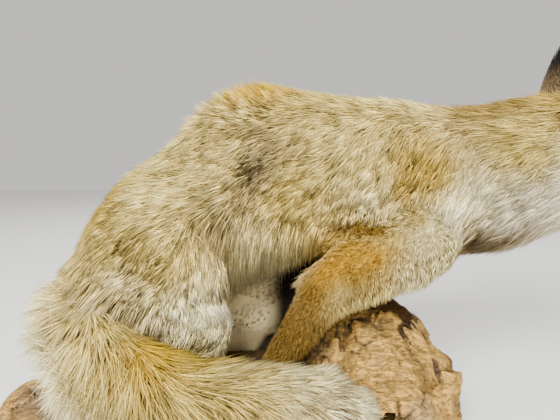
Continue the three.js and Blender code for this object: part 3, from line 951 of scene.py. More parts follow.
# ------------------------------------------------------------------ the lie of the coat
# Directions of the hair at points of the near side, and the far side mirrors them.
BODY_FLOW = [
    ((0, 0, 368), (-1, 0, 0.05)), ((75, 0, 368), (-1, 0, 0)), ((150, 0, 365), (-1, 0, 0)),
    ((-60, -10, 325), (-1, 0, -0.35)), ((-45, -60, 278), (-1, 0, -0.12)),
    ((62, -65, 308), (-0.87, 0, -0.5)), ((150, -65, 315), (-0.6, 0, -0.8)),
    ((205, -65, 305), (-0.5, 0, -0.85)), ((110, -65, 265), (-0.4, 0, -0.9)),
    ((28, -65, 233), (-0.35, 0, -0.94)), ((28, -60, 190), (-0.15, 0, -1)),
    ((-90, -80, 205), (-0.7, 0, -0.7)), ((-112, -50, 262), (-0.85, 0, -0.5)),
    ((-130, -20, 190), (-0.5, 0, -1)), ((-25, -75, 190), (-0.2, 0, -1)),
    ((-40, -75, 150), (-0.1, 0, -1)), ((285, -60, 250), (-0.88, 0, -0.48)),
    ((235, -60, 235), (-0.6, 0, -0.8)), ((265, -20, 350), (-1, 0, -0.05)),
    ((250, 0, 200), (-0.7, 0, -0.7)), ((50, 0, 185), (-1, 0, -0.3)),
    ((185, -88, 235), (-0.7, 0, -0.7)), ((120, -85, 195), (-0.8, 0, -0.6)),
]
HEAD_FLOW = [
    ((70, 0, 4), (-1, 0, 0.15)), ((45, 0, 16), (-1, 0, 0.3)), ((75, -14, -16), (-1, -0.1, 0)),
    ((80, -14, -26), (-1, -0.1, -0.35)), ((80, 0, -38), (-1, 0, -0.3)),
    ((35, -28, -22), (-1, -0.35, -0.15)), ((30, -22, 18), (-0.9, -0.25, 0.4)),
    ((0, -56, -25), (-0.8, -0.5, -0.35)), ((-25, -66, -40), (-0.75, -0.35, -0.6)),
    ((25, 0, 28), (-0.95, 0, 0.35)), ((-10, 0, 40), (-1, 0, 0.1)),
    ((-20, -50, 5), (-0.95, -0.3, 0)), ((0, 0, -72), (-1, 0, -0.15)), ((40, 0, -50), (-1, 0, -0.3)),
]
# The hair of the tail fans out over the side that faces away from the body.
TAIL_FLOW = [
    ((-165, -60, 165), (-0.9, -0.2, -0.35)), ((-175, -95, 135), (-0.95, -0.15, -0.35)),
    ((-155, -130, 108), (-0.7, -0.2, -0.7)), ((-115, -145, 92), (-0.25, -0.3, -0.95)),
    ((-100, -95, 150), (0.2, -0.6, -0.6)), ((-70, -160, 92), (0.15, -0.3, -0.95)),
    ((-20, -165, 92), (0.4, -0.2, -0.85)), ((30, -165, 92), (0.5, -0.1, -0.85)),
    ((80, -155, 85), (0.6, -0.1, -0.75)), ((105, -132, 82), (0.85, 0, -0.5)),
    ((-20, -125, 136), (0.85, 0.1, 0.1)), ((60, -130, 130), (0.9, -0.2, -0.25)),
    ((40, -100, 85), (0.9, 0.1, -0.4)), ((-60, -85, 85), (0.8, 0.1, -0.5)),
    ((-130, -60, 130), (0.3, -0.4, -0.8)),
]


def group_flow(name, points):
    if name == "head":
        return head_direction(spread_mirrored(to_head(points), HEAD_FLOW, 10, True))
    if name == "tail":
        return spread(points, TAIL_FLOW, 14)
    if name in GROUP_COLOURS:
        table = []
        for one in GROUPS[name][0]:
            for t in (0, 0.5, 1):
                table.append((blend(one.a, one.b, t), unit(one.b - one.a)))
        return spread(points, table, 8)
    return spread_mirrored(points, BODY_FLOW, 16, True)


# ------------------------------------------------------------------ the skin
Skin = namedtuple("Skin", "points normals quads groups depth flow colour place")
EAR_GROUP = len(GROUP_NAMES)
BARE_GROUP = EAR_GROUP + 1
GROUP_BLEND = 5.0  # how wide colours and directions change from one group to the next
CLEAR_OF_WOOD = 170  # the skin above this height doesn't reach the wood
FACE_AT = 318  # beyond this x, and round the toes' ends, the skin is drawn onto its field
TOE_ROUND = 22


def wrapped_skin():
    """The skin's mesh, finer round the head and the paws."""
    axes = [
        stretches((-212, 296, 3.0), (296, 490, 1.8)),
        stretches((-180, -47, 3.0), (-47, 41, 1.9), (41, 112, 3.0)),
        stretches((2, 50, 3.0), (50, 72, 2.2), (72, 248, 3.0), (248, 356, 1.8), (356, 380, 3.0)),
    ]
    grid = field_on_grid(SKIN_STEPS, axes, 1)
    clear = np.searchsorted(axes[2], CLEAR_OF_WOOD)
    low = (slice(None), slice(None), slice(0, clear))
    grid[low] = np.maximum(grid[low], -(wood_field(grid_points(axes, low)) + WOOD_GAP))
    points, quads = surface_nets(grid, axes)
    fine = points[:, 0] > FACE_AT
    for toe in TOES:
        fine |= np.linalg.norm(points - toe.bone.b, axis=1) < TOE_ROUND
    points[fine] = draw_onto(skin_field, points[fine], 1.2)
    return points, quads


def group_weights(points):
    """How much each point belongs to each group of bones."""
    d = np.stack([group_field(points, name, 1) for name in GROUP_NAMES], axis=1)
    weights = np.exp(-(d - d.min(axis=1, keepdims=True)) / GROUP_BLEND)
    return weights / weights.sum(axis=1, keepdims=True)


def brush_share(points):
    """The share of tufts with dark tips."""
    share = np.full(len(points), BRUSH_LEAST)
    for centre, radius, most in BRUSHES:
        away = np.linalg.norm(points - centre, axis=1) + 5 * noise(points, 9, 40)
        share = np.maximum(share, most * smooth_step(radius, radius * 0.35, away))
    return share


def nearest_eye(points):
    """How far the nearest eye's centre is, and the direction away from it."""
    away = np.stack([points - eye_centre(side) for _, side in SIDES])
    far = np.linalg.norm(away, axis=2)
    nearer = far.argmin(axis=0)
    every = np.arange(len(points))
    return far[nearer, every], unit(away[nearer, every])


def parted(points, flow):
    """The flow, turned so that the hair parts round the eyes."""
    far, away = nearest_eye(points)
    return flow + away * (1.8 * smooth_step(25, 11, far))[:, None]


def lip_share(points):
    """1 on the lips, whose hair is the shortest."""
    share = np.zeros(len(points))
    for _, side in SIDES:
        for one in lip_bones(side):
            share = np.maximum(share, smooth_step(3.4, 1.6, distance(points, one, 0) + LIP_RADIUS))
    return share


def lay_stripes_and_shadows(points, colour):
    """Lays the stripes and the painted shadows over the body's colours."""
    for start, end, half_width, stripe, strength in STRIPES_AND_SHADOWS:
        off = distance(points, bone(start, half_width, end, half_width), 0)
        near = smooth_step(0.8 * half_width, -0.6 * half_width, off)
        colour = blend(colour, rich(stripe), (strength * near)[:, None])
    return colour


def head_marks(points, colour):
    """The streaks from the eyes down the muzzle, the dark skin round the eyes, and the lips."""
    for _, side in SIDES:
        streak = bone(in_head([49, side * 15.5, 5]), 3.0, in_head([70, side * 14.5, -13]), 4.5)
        near = smooth_step(5, -1, distance(points, streak, 0))
        colour = blend(colour, linear(BROWN), near[:, None] * 0.6)
        rim = np.linalg.norm(points - eye_centre(side), axis=1)
        near = smooth_step(EYE_RADIUS + 5, EYE_RADIUS + 2.5, rim)
        colour = blend(colour, linear(DARK), near[:, None] * 0.6)
    return blend(colour, linear(DARK), 0.9 * lip_share(points)[:, None])


def make_skin():
    points, quads = wrapped_skin()
    normals = normals_of(points, quads)
    weights = group_weights(points)
    groups = weights.argmax(axis=1)
    depth = np.maximum(-coat_field(points), 0.5)
    sleek = soft_box(points, SLEEK_BOX)
    depth = blend(depth, np.minimum(depth, SLEEK_DEPTH), sleek)
    outer = points + normals * depth[:, None]
    flow = sum(weights[:, [n]] * unit(group_flow(g, outer)) for n, g in enumerate(GROUP_NAMES))
    colour = sum(weights[:, [n]] * group_colour(g, outer) for n, g in enumerate(GROUP_NAMES))
    flow = parted(points, flow)
    colour = blend(colour, linear(SLEEK), sleek[:, None])
    # painted shade on the belly between the legs
    colour = blend(colour, linear(BELLY_SHADE), soft_box(points, BELLY_SHADE_BOX)[:, None])
    colour = lay_stripes_and_shadows(outer, colour)
    colour = head_marks(points, colour)
    places = np.stack([coat_place(name, points) for name in GROUP_NAMES], axis=1)
    place = places[np.arange(len(points)), groups]
    parts = [Skin(points, normals, quads, groups, depth, flow, colour, place)]
    for _, side in SIDES:
        parts.append(ear_skin(side))
        parts.append(lid_skin(side))
    return joined_skin(parts)


def ear_skin(side):
    points, quads, facts = ear(side)
    v, s, inner = facts.T
    normals = normals_of(points, quads)
    up = head_direction(on_side(EAR_UP, side))
    colour = blend(linear(UMBER), linear(BLACK), smooth_step(0.3, 0.75, v)[:, None])
    colour = blend(colour, linear(TAN), smooth_step(0.25, 0.05, v)[:, None])
    pale = blend(linear(CREAM), linear(ASH), smooth_step(0.4, 1, v)[:, None])
    inside = inner * (1 - 0.85 * smooth_step(0.62, 0.95, np.abs(s)))
    colour = blend(colour, pale, inside[:, None])
    depth = np.where(inner > 0.5, 2.5, EAR_COAT * (1 - 0.6 * v) + 0.6)
    place = np.stack([v, 0.5 + 0.24 * s + 0.5 * inner], axis=1)
    count = len(points)
    return Skin(points, normals, quads, np.full(count, EAR_GROUP), depth,
                np.tile(up, (count, 1)), colour, place)


def lid_skin(side):
    points, quads, row = lid(side)
    normals = normals_of(points, quads)
    furred = (row >= LID_RIM) & (row <= LID_FURRED)
    fur = smooth_step(LID_RIM - 1.0, LID_RIM + 2.0, row)
    colour = blend(linear(RIM), group_colour("head", points), fur[:, None])
    groups = np.where(furred, GROUP_NAMES.index("head"), BARE_GROUP)
    depth = np.full(len(points), LID_COAT)
    flow = parted(points, head_direction([-1, 0, 0.1]))
    return Skin(points, normals, quads, groups, depth, flow, colour, coat_place("head", points))


def joined_skin(parts):
    offset, quads = 0, []
    for part in parts:
        quads.append(part.quads + offset)
        offset += len(part.points)
    columns = {name: np.concatenate([getattr(p, name) for p in parts]) for name in Skin._fields}
    columns["quads"] = np.concatenate(quads)
    return Skin(**columns)


# The unwrap of these groups turns round a line: the heights of its two ends.
UNWRAP_LINES = {"trunk": (265, 265), "neck": (285, 310), "head": (285, 310)}


def turn_share(up, sideways):
    """How far round a line something lies, from 0 to 1."""
    return np.arctan2(up, sideways) / (2 * math.pi) + 0.5


def coat_place(name, points):
    """A place on an unwrap of a part of the body: along it, and round it."""
    if name == "tail":
        along, toward, middle = tail_place(points)
        away = points - middle
        sideways = unit(np.cross(toward, [0, 0, 1.0]))
        above = np.cross(sideways, toward)
        turn = turn_share((away * above).sum(axis=1), (away * sideways).sum(axis=1))
        return np.stack([along, turn], axis=1)
    bones = GROUPS[name][0]
    low = np.min([np.minimum(one.a, one.b) - one.ra for one in bones], axis=0)
    high = np.max([np.maximum(one.a, one.b) + one.ra for one in bones], axis=0)
    start, end = bones[0].a, bones[-1].b
    if name in UNWRAP_LINES:
        start_height, end_height = UNWRAP_LINES[name]
        start, end = np.array([low[0], 0, start_height]), np.array([high[0], 0, end_height])
    forward = unit(end - start)
    sideways = unit(np.cross(forward, [0, 0, 1.0]))
    above = np.cross(sideways, forward)
    reach = (high - low) @ np.abs(forward)
    away = points - (low + high) / 2
    centre = away - (away @ forward)[:, None] * forward
    along = np.clip(away @ forward / reach + 0.5, 0, 1)
    return np.stack([along, turn_share(centre @ above, centre @ sideways)], axis=1)


# ------------------------------------------------------------------ tufts
PATCH_SIZE = 0.003  # of a tuft on the unwrap
ROOT_DEPTH = 0.6  # how far inside the skin a tuft starts
RING_AT = 0.4  # where its ring is, as a share of the way to its tip
SECTION = ((0, 0.42), (-0.5, -0.18), (0.5, -0.18))  # the ring's corners, across and up, in widths
LEVELS = [0, 1, 1, 1, 2]  # of a tuft's vertices: its root, its ring and its tip

SINK = 0.34  # how far the tips of the darkest locks lie under the others', as a share of the depth
SETTLE_OUT = 14  # the furthest that a tip is moved out in one turn, and in
SETTLE_IN = 18
STRAY_SHARE = 0.04  # of the tufts stick out of the rest
STRAY_RISE = 3.5  # and this far, where the coat is long
STRAY_RISE_SHORT = 0.6
PLUSH_RISE = 7.0  # how far the plush under the upper arms stands out
SLEEK_RUN = 5.5  # how far the short hair of the far hind leg runs along the skin
BRUSH_LEAST = 0.045  # the share of dark-tipped hair outside the brushes
HAIR_GAP = 1.2  # between the wood, and tips of hair and claws
# Rough tufts stand out on the hump of the back, and loose wisps outside the tail's bend.
RIDGE_RISE = 14.0
RIDGE_BOX = [(X, -125, -70), (X, 80, 20), (Z, 318, 352)]
WISP_RISE = 26.0
WISP_BOX = [(X, -135, -172), (Y, -20, -60), (Z, 200, 180)]
# In the fold over the near arm the hair is short: its middle, and how far from that it is long
# and short.
FOLD_AT = (118, -62, 250)
FOLD_FADE = (30, 14)
# Under the near flank the hair hangs to a line: its height at x = 0, and its rise along x.
FRINGE_BOX = [(X, -60, -25), (X, 98, 70), (Z, 262, 238), (Z, 172, 186), (Y, -10, -26)]
FRINGE_HEIGHT = 171.0
FRINGE_SLOPE = 0.52
FRINGE_LONGEST = 62.0

# How the hair grows in each kind of place:
#   width   of a tuft
#   run     its length along the skin, as a share of the coat's depth
#   least   and most of that length
#   clump   spacing of the locks, and draw, how far their tips draw together
#   wave    how much neighbouring locks turn apart, and loose, how much single tufts do
#   ragged  how far tips stop short of the coat's outline, as a share of its depth
#   crowding  how much closer short hair stands than long hair, as a power
Growth = namedtuple("Growth", "width run least most clump draw wave loose ragged crowding")
GROWTHS = {
    "trunk": Growth(0.8, 1.6, 11, 30, 6.0, 0.84, 0.36, 0.18, 0.3, 0.6),
    "neck": Growth(0.78, 1.6, 14, 42, 6.0, 0.8, 0.32, 0.18, 0.3, 0),
    "tail": Growth(0.78, 1.35, 18, 58, 5.5, 0.62, 0.3, 0.22, 0.35, 0),
    "arm": Growth(0.62, 0.75, 5, 13, 3.4, 0.5, 0.35, 0.35, 0.2, 0),
    "leg": Growth(0.5, 1.5, 5, 13, 3.2, 0.4, 0.25, 0.2, 0.25, 0.5),
    "head": Growth(0.46, 1.7, 5.2, 34, 3.4, 0.5, 0.16, 0.12, 0.3, 1.1),
    "ear": Growth(0.48, 2.4, 5, 11, 2.6, 0.25, 0.15, 0.12, 0.25, 0),
}


def clump_centres(points, size, seed):
    """The nearest of a jittered lattice of centres, and a repeatable number for it."""
    best = np.full(len(points), 1e9)
    centre = np.zeros_like(points)
    label = np.zeros(len(points))
    for cell, at in lattice_centres(points, size, seed):
        d = ((points - at) ** 2).sum(axis=1)
        nearer = d < best
        best = np.where(nearer, d, best)
        centre = np.where(nearer[:, None], at, centre)
        label = np.where(nearer, lattice_value(cell, seed + 9), label)
    return centre, label


def scatter(skin, triangles, count, random, crowding):
    """Random roots: what they hold of each vertex value. The shorter the hair, the closer they
    stand, by the power crowding."""
    a, b, c = (skin.points[triangles[:, n]] for n in range(3))
    area = np.linalg.norm(np.cross(b - a, c - a), axis=1)
    area = area / (skin.depth[triangles[:, 0]] + 2) ** crowding
    pick = random.choice(len(triangles), count, p=area / area.sum())
    u, v = random.random(count), random.random(count)
    flip = u + v > 1
    u, v = np.where(flip, 1 - u, u), np.where(flip, 1 - v, v)
    share = np.stack([1 - u - v, u, v], axis=1)
    corner = triangles[pick]

    def value(column):
        return (column[corner] * share.reshape(share.shape + (1,) * (column.ndim - 1))).sum(axis=1)

    return value


def settled(tips, normals, goal):
    """Moves tips along the normals until they lie goal inside the coat's outline."""
    for _ in range(2):
        off = coat_field(tips) + goal
        tips = tips - normals * np.clip(off, -SETTLE_OUT, SETTLE_IN)[:, None]
    return tips


def off_the_wood(points):
    """Lifts the points that are in the wood or too close to it."""
    near = wood_field(points) < HAIR_GAP
    if near.any():
        stuck = points[near]
        g = unit(slope(wood_field, stuck))
        points[near] = stuck + g * (HAIR_GAP - wood_field(stuck))[:, None]
    return points


def plush_share(points):
    """1 under the upper arms, where short hair stands out thickly."""
    x, y, z = points.T
    edge = 158 + 0.5 * (x - 80)  # the height of the arm's lower edge
    under = smooth_step(edge + 34, edge + 8, z) * (np.abs(y) > 30)
    return smooth_step(45, 70, x) * smooth_step(200, 180, x) * under


def fringe_tip(root, normal, random):
    """Where the tips of the hanging hair are."""
    x, _, z = root.T
    fall = z - (FRINGE_HEIGHT + FRINGE_SLOPE * np.clip(x, -10, 90)) + random.normal(0, 5, len(root))
    fall = np.clip(fall, 12, FRINGE_LONGEST)
    tip = root + normal * 9
    tip[:, 0] += random.normal(-2.5, 3.0, len(root))
    tip[:, 2] -= fall
    return tip


Tufts = namedtuple("Tufts", "root normal depth flow colour place label aside outer sleek brush")


def along_skin(vectors, normals):
    """The part of each vector that runs along the skin."""
    return vectors - (vectors * normals).sum(axis=1, keepdims=True) * normals


def rooted_tufts(skin, triangles, count, growth, seed, random):
    """Tufts at random roots: what the skin holds there, and how each lies in its lock."""
    value = scatter(skin, triangles, count, random, growth.crowding)
    root, normal, depth = value(skin.points), unit(value(skin.normals)), value(skin.depth)
    colour, place, flow = value(skin.colour), value(skin.place), unit(value(skin.flow))
    centre, label = clump_centres(root, growth.clump, seed)
    turned = 0.5 * noise_vector(root, 38, 5) + noise_vector(centre, 11, 9)
    flow += growth.wave * turned + growth.loose * random.normal(size=(count, 3))
    flow = unit(along_skin(flow, normal))
    aside = along_skin(root - centre, normal)
    outer = root + normal * depth[:, None]
    sleek, brush = soft_box(root, SLEEK_BOX), brush_share(outer)
    return Tufts(root, normal, depth, flow, colour, place, label, aside, outer, sleek, brush)


def tuft_runs(tufts, growth, random):
    """How far each tuft runs along the skin."""
    outer = tufts.outer
    uneven = 0.75 + 0.5 * random.random(len(outer))
    run = np.clip(tufts.depth * growth.run * uneven, growth.least, growth.most)
    upright = np.maximum(soft_box(outer, RIDGE_BOX), 1.3 * tufts.brush)
    upright = np.maximum(upright, 0.8 * plush_share(outer))
    run *= (1 - 0.5 * upright) * (1 + 0.3 * soft_box(outer, WISP_BOX) * tufts.label)
    fold = smooth_step(*FOLD_FADE, np.linalg.norm(outer - np.array(FOLD_AT), axis=1))
    run = blend(run, SLEEK_RUN * uneven, tufts.sleek) * (1 - 0.5 * fold)
    by_the_eye = smooth_step(26, 10, nearest_eye(tufts.root)[0])
    return run * ((1 - 0.4 * by_the_eye) * (1 - 0.75 * lip_share(tufts.root)))


def tip_goals(tufts, growth, random):
    """How far inside the coat's outline each tip ends."""
    count = len(tufts.root)
    stray_rise = STRAY_RISE if growth.least > 10 else STRAY_RISE_SHORT
    stray = (random.random(count) < STRAY_SHARE) * stray_rise
    short_by = growth.ragged * random.random(count) ** 1.5 + SINK * (1 - tufts.label)
    rise = stray + soft_box(tufts.outer, RIDGE_BOX) * RIDGE_RISE * random.random(count)
    rise += soft_box(tufts.outer, WISP_BOX) * WISP_RISE * tufts.label
    return tufts.depth * short_by - rise - plush_share(tufts.outer) * PLUSH_RISE


def tuft_tips(tufts, growth, random, free):
    root, normal = tufts.root, tufts.normal
    run = tuft_runs(tufts, growth, random)
    goal = tip_goals(tufts, growth, random)
    lift = tufts.depth * blend(0.85, 0.25, tufts.sleek)
    tip = root + tufts.flow * run[:, None] + normal * lift[:, None] - tufts.aside * growth.draw
    if not free:
        held = np.maximum(tufts.sleek, smooth_step(13.5, 11, nearest_eye(root)[0]))
        tip = blend(settled(tip, normal, goal), tip, held[:, None])
        fringe = soft_box(root, FRINGE_BOX)
        tip = blend(tip, fringe_tip(root, normal, random), fringe[:, None])
    return off_the_wood(tip)


def tuft_vertices(tufts, tip, growth, random):
    """Each tuft's root, the three corners of its ring, and its tip."""
    normal, sleek = tufts.normal, tufts.sleek
    start = tufts.root - normal * ROOT_DEPTH
    bow = tufts.depth * blend(0.34, 0.12, sleek)
    bow = normal * bow[:, None] - tufts.aside * (growth.draw * 0.15)
    width = growth.width * (0.7 + 0.6 * random.random(len(tip))) * (1 - 0.3 * sleek)
    along = unit(tip - start)
    across = unit(np.cross(normal, along)) * width[:, None]
    above = np.cross(along, across)
    middle = blend(start, tip, RING_AT) + bow * (4 * RING_AT * (1 - RING_AT))
    ring = np.stack([middle + across * s + above * u for s, u in SECTION], axis=1)
    return np.concatenate([start[:, None], ring, tip[:, None]], axis=1)


def spindle():
    """Triangles of a closed tuft with a root, a ring of three and a tip, and their places in its
    patch of the unwrap, which is one wide and one high."""
    faces, patch = [], []
    for k in range(3):
        left, right, middle = k / 3, (k + 1) / 3, (k + 0.5) / 3
        a, b = 1 + k, 1 + (k + 1) % 3
        faces += [(b, a, 0), (a, b, 4)]
        patch.append(((right, 0.5), (left, 0.5), (middle, 0)))
        patch.append(((left, 0.5), (right, 0.5), (middle, 1)))
    return np.array(faces), np.array(patch)


def grow(name, slot, material, skin, triangles, count, growth, seed, free=False):
    """One piece of the coat. free hair isn't drawn to the coat's outline, as on the ears."""
    random = np.random.default_rng(COAT_SEED + seed)
    tufts = rooted_tufts(skin, triangles, count, growth, seed, random)
    tips = tuft_tips(tufts, growth, random, free)
    vertices = tuft_vertices(tufts, tips, growth, random)
    colours = tuft_colours(tufts, growth, random)
    template, patch = spindle()
    faces = template + len(LEVELS) * np.arange(count)[:, None, None]
    obj = new_mesh(name, vertices.reshape(-1, 3), faces.reshape(-1, 3))
    paint(obj, colours[:, LEVELS].reshape(-1, 3))
    corners = tufts.place[:, None, None] + (patch - 0.5) * PATCH_SIZE
    layer = obj.data.uv_layers.new(name="OFBake")
    layer.data.foreach_set("uv", corners.astype(np.float32).ravel())
    finish_piece(obj, slot, material)


def tuft_colours(tufts, growth, random):
    """Linear colours of each tuft at its root, ring and tip."""
    root, label, sleek = tufts.root, tufts.label, tufts.sleek
    count = len(root)
    patches = 1 + 0.10 * noise(root, 26, 21) + 0.10 * noise(root, 9, 22)
    own = np.clip(np.exp(random.normal(-0.07, 0.43, count)), 0.35, 2.1)
    long_hair = smooth_step(3, 13, tufts.depth)
    calm = smooth_step(0.62, 0.88, tufts.colour.mean(axis=1))  # pale hair is more even
    shade = blend(0.9, 0.5 + 0.8 * label, long_hair)
    shade = blend(blend(shade, 1, sleek), 1, 0.6 * calm)
    variety = (0.4 + 0.6 * long_hair) * (1 - 0.6 * np.maximum(sleek, 0.8 * calm))
    base = tufts.colour * (patches * blend(1, own, variety) * shade)[:, None]
    # darker roots: partly the underfur's own colour, partly painted shade between the hairs
    deep = base * blend(0.72, np.array(UNDERCOAT_AND_SHADE), long_hair[:, None])
    deep = blend(deep, base, np.maximum(sleek, 0.55 * calm)[:, None])
    dark = ((random.random(count) < tufts.brush) & (growth.width > 0.6))[:, None]
    pale = np.clip(0.75 * label + 0.5 * random.random(count) - 0.12, 0, 1)
    tip = blend(base * 0.85, TIP_GLOW * base**PALING, np.maximum(pale, sleek)[:, None])
    tip = np.where(dark, base * DARK_TIP, tip)
    middle = np.where(dark, base * 0.4, blend(deep, base, 0.5))
    return np.clip(np.stack([deep, middle, tip], axis=1), 0, 0.97)


# The coat's pieces: name, slot, growth, groups, side (0 for both), number of tufts.
COAT_PIECES = [
    ("coat_trunk_right", "coat_sand", "trunk", ("trunk",), -1, 32000),
    ("coat_trunk_left", "coat_sand", "trunk", ("trunk",), 1, 30000),
    ("coat_neck_right", "coat_cream", "neck", ("neck",), -1, 18500),
    ("coat_neck_left", "coat_cream", "neck", ("neck",), 1, 17500),
    ("coat_tail", "coat_brush", "tail", ("tail",), 0, 33000),
    ("coat_thigh_right", "coat_sand", "trunk", ("thigh_right",), 0, 17000),
    ("coat_thigh_left", "coat_sand", "trunk", ("thigh_left",), 0, 15000),
    ("coat_arm_right", "coat_rust", "arm", ("upper_arm_right",), 0, 9000),
    ("coat_arm_left", "coat_rust", "arm", ("upper_arm_left",), 0, 8000),
    ("coat_head", "coat_rust", "head", ("head",), 0, 32500),
    ("coat_foreleg_right", "coat_rust", "leg", ("forearm_right", "fore_paw_right"), 0, 7000),
    ("coat_foreleg_left", "coat_rust", "leg", ("forearm_left", "fore_paw_left"), 0, 5000),
    ("coat_shank_right", "coat_sand", "leg", ("shank_right", "hind_paw_right"), 0, 6000),
    ("coat_shank_left", "coat_sand", "leg", ("shank_left", "hind_paw_left"), 0, 7000),
]
EAR_TUFTS = 6000
FUR_SLOTS = ("coat_sand", "coat_cream", "coat_rust", "coat_brush", "ear")


def halved(quads):
    """Two triangles for each quad."""
    return np.concatenate([quads[:, [0, 1, 2]], quads[:, [0, 2, 3]]])


def add_coat(skin, furs):
    triangles = halved(skin.quads)
    group = skin.groups[triangles[:, 0]]
    corner = skin.points[triangles[:, 0]]
    share = 1
    for n, (name, slot, growth, groups, side, count) in enumerate(COAT_PIECES):
        chosen = np.isin(group, [GROUP_NAMES.index(g) for g in groups])
        if side:
            chosen &= (corner[:, 1] > 0) == (side > 0)
        grow(name, slot, furs[slot], skin, triangles[chosen], int(count * share), GROWTHS[growth],
             PIECE_SEED * n)
    for n, (side_name, side) in enumerate(SIDES):
        chosen = (group == EAR_GROUP) & ((to_head(corner)[:, 1] > 0) == (side > 0))
        grow("coat_ear_" + side_name, "ear", furs["ear"], skin, triangles[chosen],
             int(EAR_TUFTS * share), GROWTHS["ear"], EAR_SEED + n, free=True)


# ------------------------------------------------------------------ materials
def new_material(name):
    """A material, and its shader."""
    material = bpy.data.materials.new(name)
    material.use_nodes = True
    return material, material.node_tree.nodes["Principled BSDF"]


def set_inputs(material, node, inputs):
    """Each input gets a number or a colour, or is linked to another node's output."""
    for key, value in inputs.items():
        if isinstance(value, bpy.types.NodeSocket):
            material.node_tree.links.new(value, node.inputs[key])
        else:
            node.inputs[key].default_value = value


def add_node(material, kind, inputs=None, output=0, **settings):
    """Adds a shader node, and returns one of its outputs."""
    node = material.node_tree.nodes.new("ShaderNode" + kind)
    for key, value in settings.items():
        setattr(node, key, value)
    set_inputs(material, node, inputs or {})
    return node.outputs[output]


def painted(material, name):
    """The colours that are painted on the vertices."""
    return add_node(material, "Attribute", output="Color", attribute_name=name)


def place_on(material):
    return add_node(material, "TexCoord", output="Object")


def scaled(material, colour, tone):
    return add_node(material, "VectorMath", {0: colour, "Scale": tone}, "Vector", operation="SCALE")


def bumps(material, height, strength, depth):
    inputs = {"Strength": strength, "Distance": depth, "Height": height}
    return add_node(material, "Bump", inputs, "Normal")


def fur_material(name):
    """Hair that takes its colour from the coat's own markings, with a fine streaked break-up."""
    material, shader = new_material(name)
    colour = painted(material, "Coat")
    inputs = {"Vector": place_on(material), "Scale": 420, "Detail": 3}
    streaks = add_node(material, "TexNoise", inputs, "Fac")
    tone = add_node(material, "MapRange", {"Value": streaks, "To Min": 0.8, "To Max": 1.2}, "Result")
    set_inputs(material, shader, {
        "Base Color": scaled(material, colour, tone),
        "Roughness": 0.7,
        "Specular IOR Level": 0.08,
        "Normal": bumps(material, streaks, 0.5, 0.0006),
    })
    return material


def glass_eye_material():
    material, shader = new_material("glass_eye")
    set_inputs(material, shader, {
        "Base Color": painted(material, "Iris"),
        "Roughness": 0.08,
        "Coat Weight": 1.0,
        "Coat Roughness": 0.02,
    })
    return material


def horn_material(name, roughness, scale, depth):
    """Nose leather, claws and whiskers: dark, finely pebbled."""
    material, shader = new_material(name)
    inputs = {"Vector": place_on(material), "Scale": scale}
    pebbles = add_node(material, "TexVoronoi", inputs, "Distance")
    colour = add_node(material, "ValToRGB", {"Fac": pebbles}, "Color")
    low, high = colour.node.color_ramp.elements
    low.color = (*linear(BLACK), 1)
    high.color = (*linear(HORN), 1)
    set_inputs(material, shader, {
        "Base Color": colour,
        "Roughness": roughness,
        "Specular IOR Level": 0.3,
        "Normal": bumps(material, pebbles, 0.6, depth),
    })
    return material


def wood_material():
    """Driftwood: its painted colours, with a grain and fine cracks between its fibres."""
    material, shader = new_material("driftwood")
    inputs = {"Vector": place_on(material), "Scale": (0.3, 1, 1)}
    where = add_node(material, "Mapping", inputs, "Vector")
    inputs = {"Vector": where, "Scale": 260, "Detail": 6, "Distortion": 0.6}
    grain = add_node(material, "TexNoise", inputs, "Fac")
    inputs = {"Value": grain, "From Min": 0.25, "From Max": 0.75, "To Min": 0.5, "To Max": 1.27}
    tone = add_node(material, "MapRange", inputs, "Result")
    inputs = {0: grain.node.outputs["Color"], 1: (0.02, 0.02, 0.02), 2: where}
    wander = add_node(material, "VectorMath", inputs, "Vector", operation="MULTIPLY_ADD")
    inputs = {"Vector": wander, "Scale": 85}
    edge = add_node(material, "TexVoronoi", inputs, "Distance", feature="DISTANCE_TO_EDGE")
    # The fine cracks darken the colour as painted shade; the same tone makes the bump.
    crack = add_node(material, "MapRange", {"Value": edge, "From Max": 0.07, "To Min": 0.58}, "Result")
    shade = add_node(material, "Math", {0: tone, 1: crack}, "Value", operation="MULTIPLY")
    set_inputs(material, shader, {
        "Base Color": scaled(material, painted(material, "Wood"), shade),
        "Roughness": 0.72,
        "Specular IOR Level": 0.3,
        "Normal": bumps(material, shade, 1.0, 0.0018),
    })
    return material


# ------------------------------------------------------------------ the eyes, nose, claws, whiskers
AMBER = (122, 78, 6)
AMBER_DEEP = (50, 28, 4)
# Degrees of the eyeball from the middle of its gaze.
PUPIL_SIDE = 9
PUPIL_TOP = 19
IRIS_EDGE = (37, 41)
IRIS_DEEP = (24, 38)  # where the iris darkens
CORNEA = 42
CORNEA_SWELL = 0.35


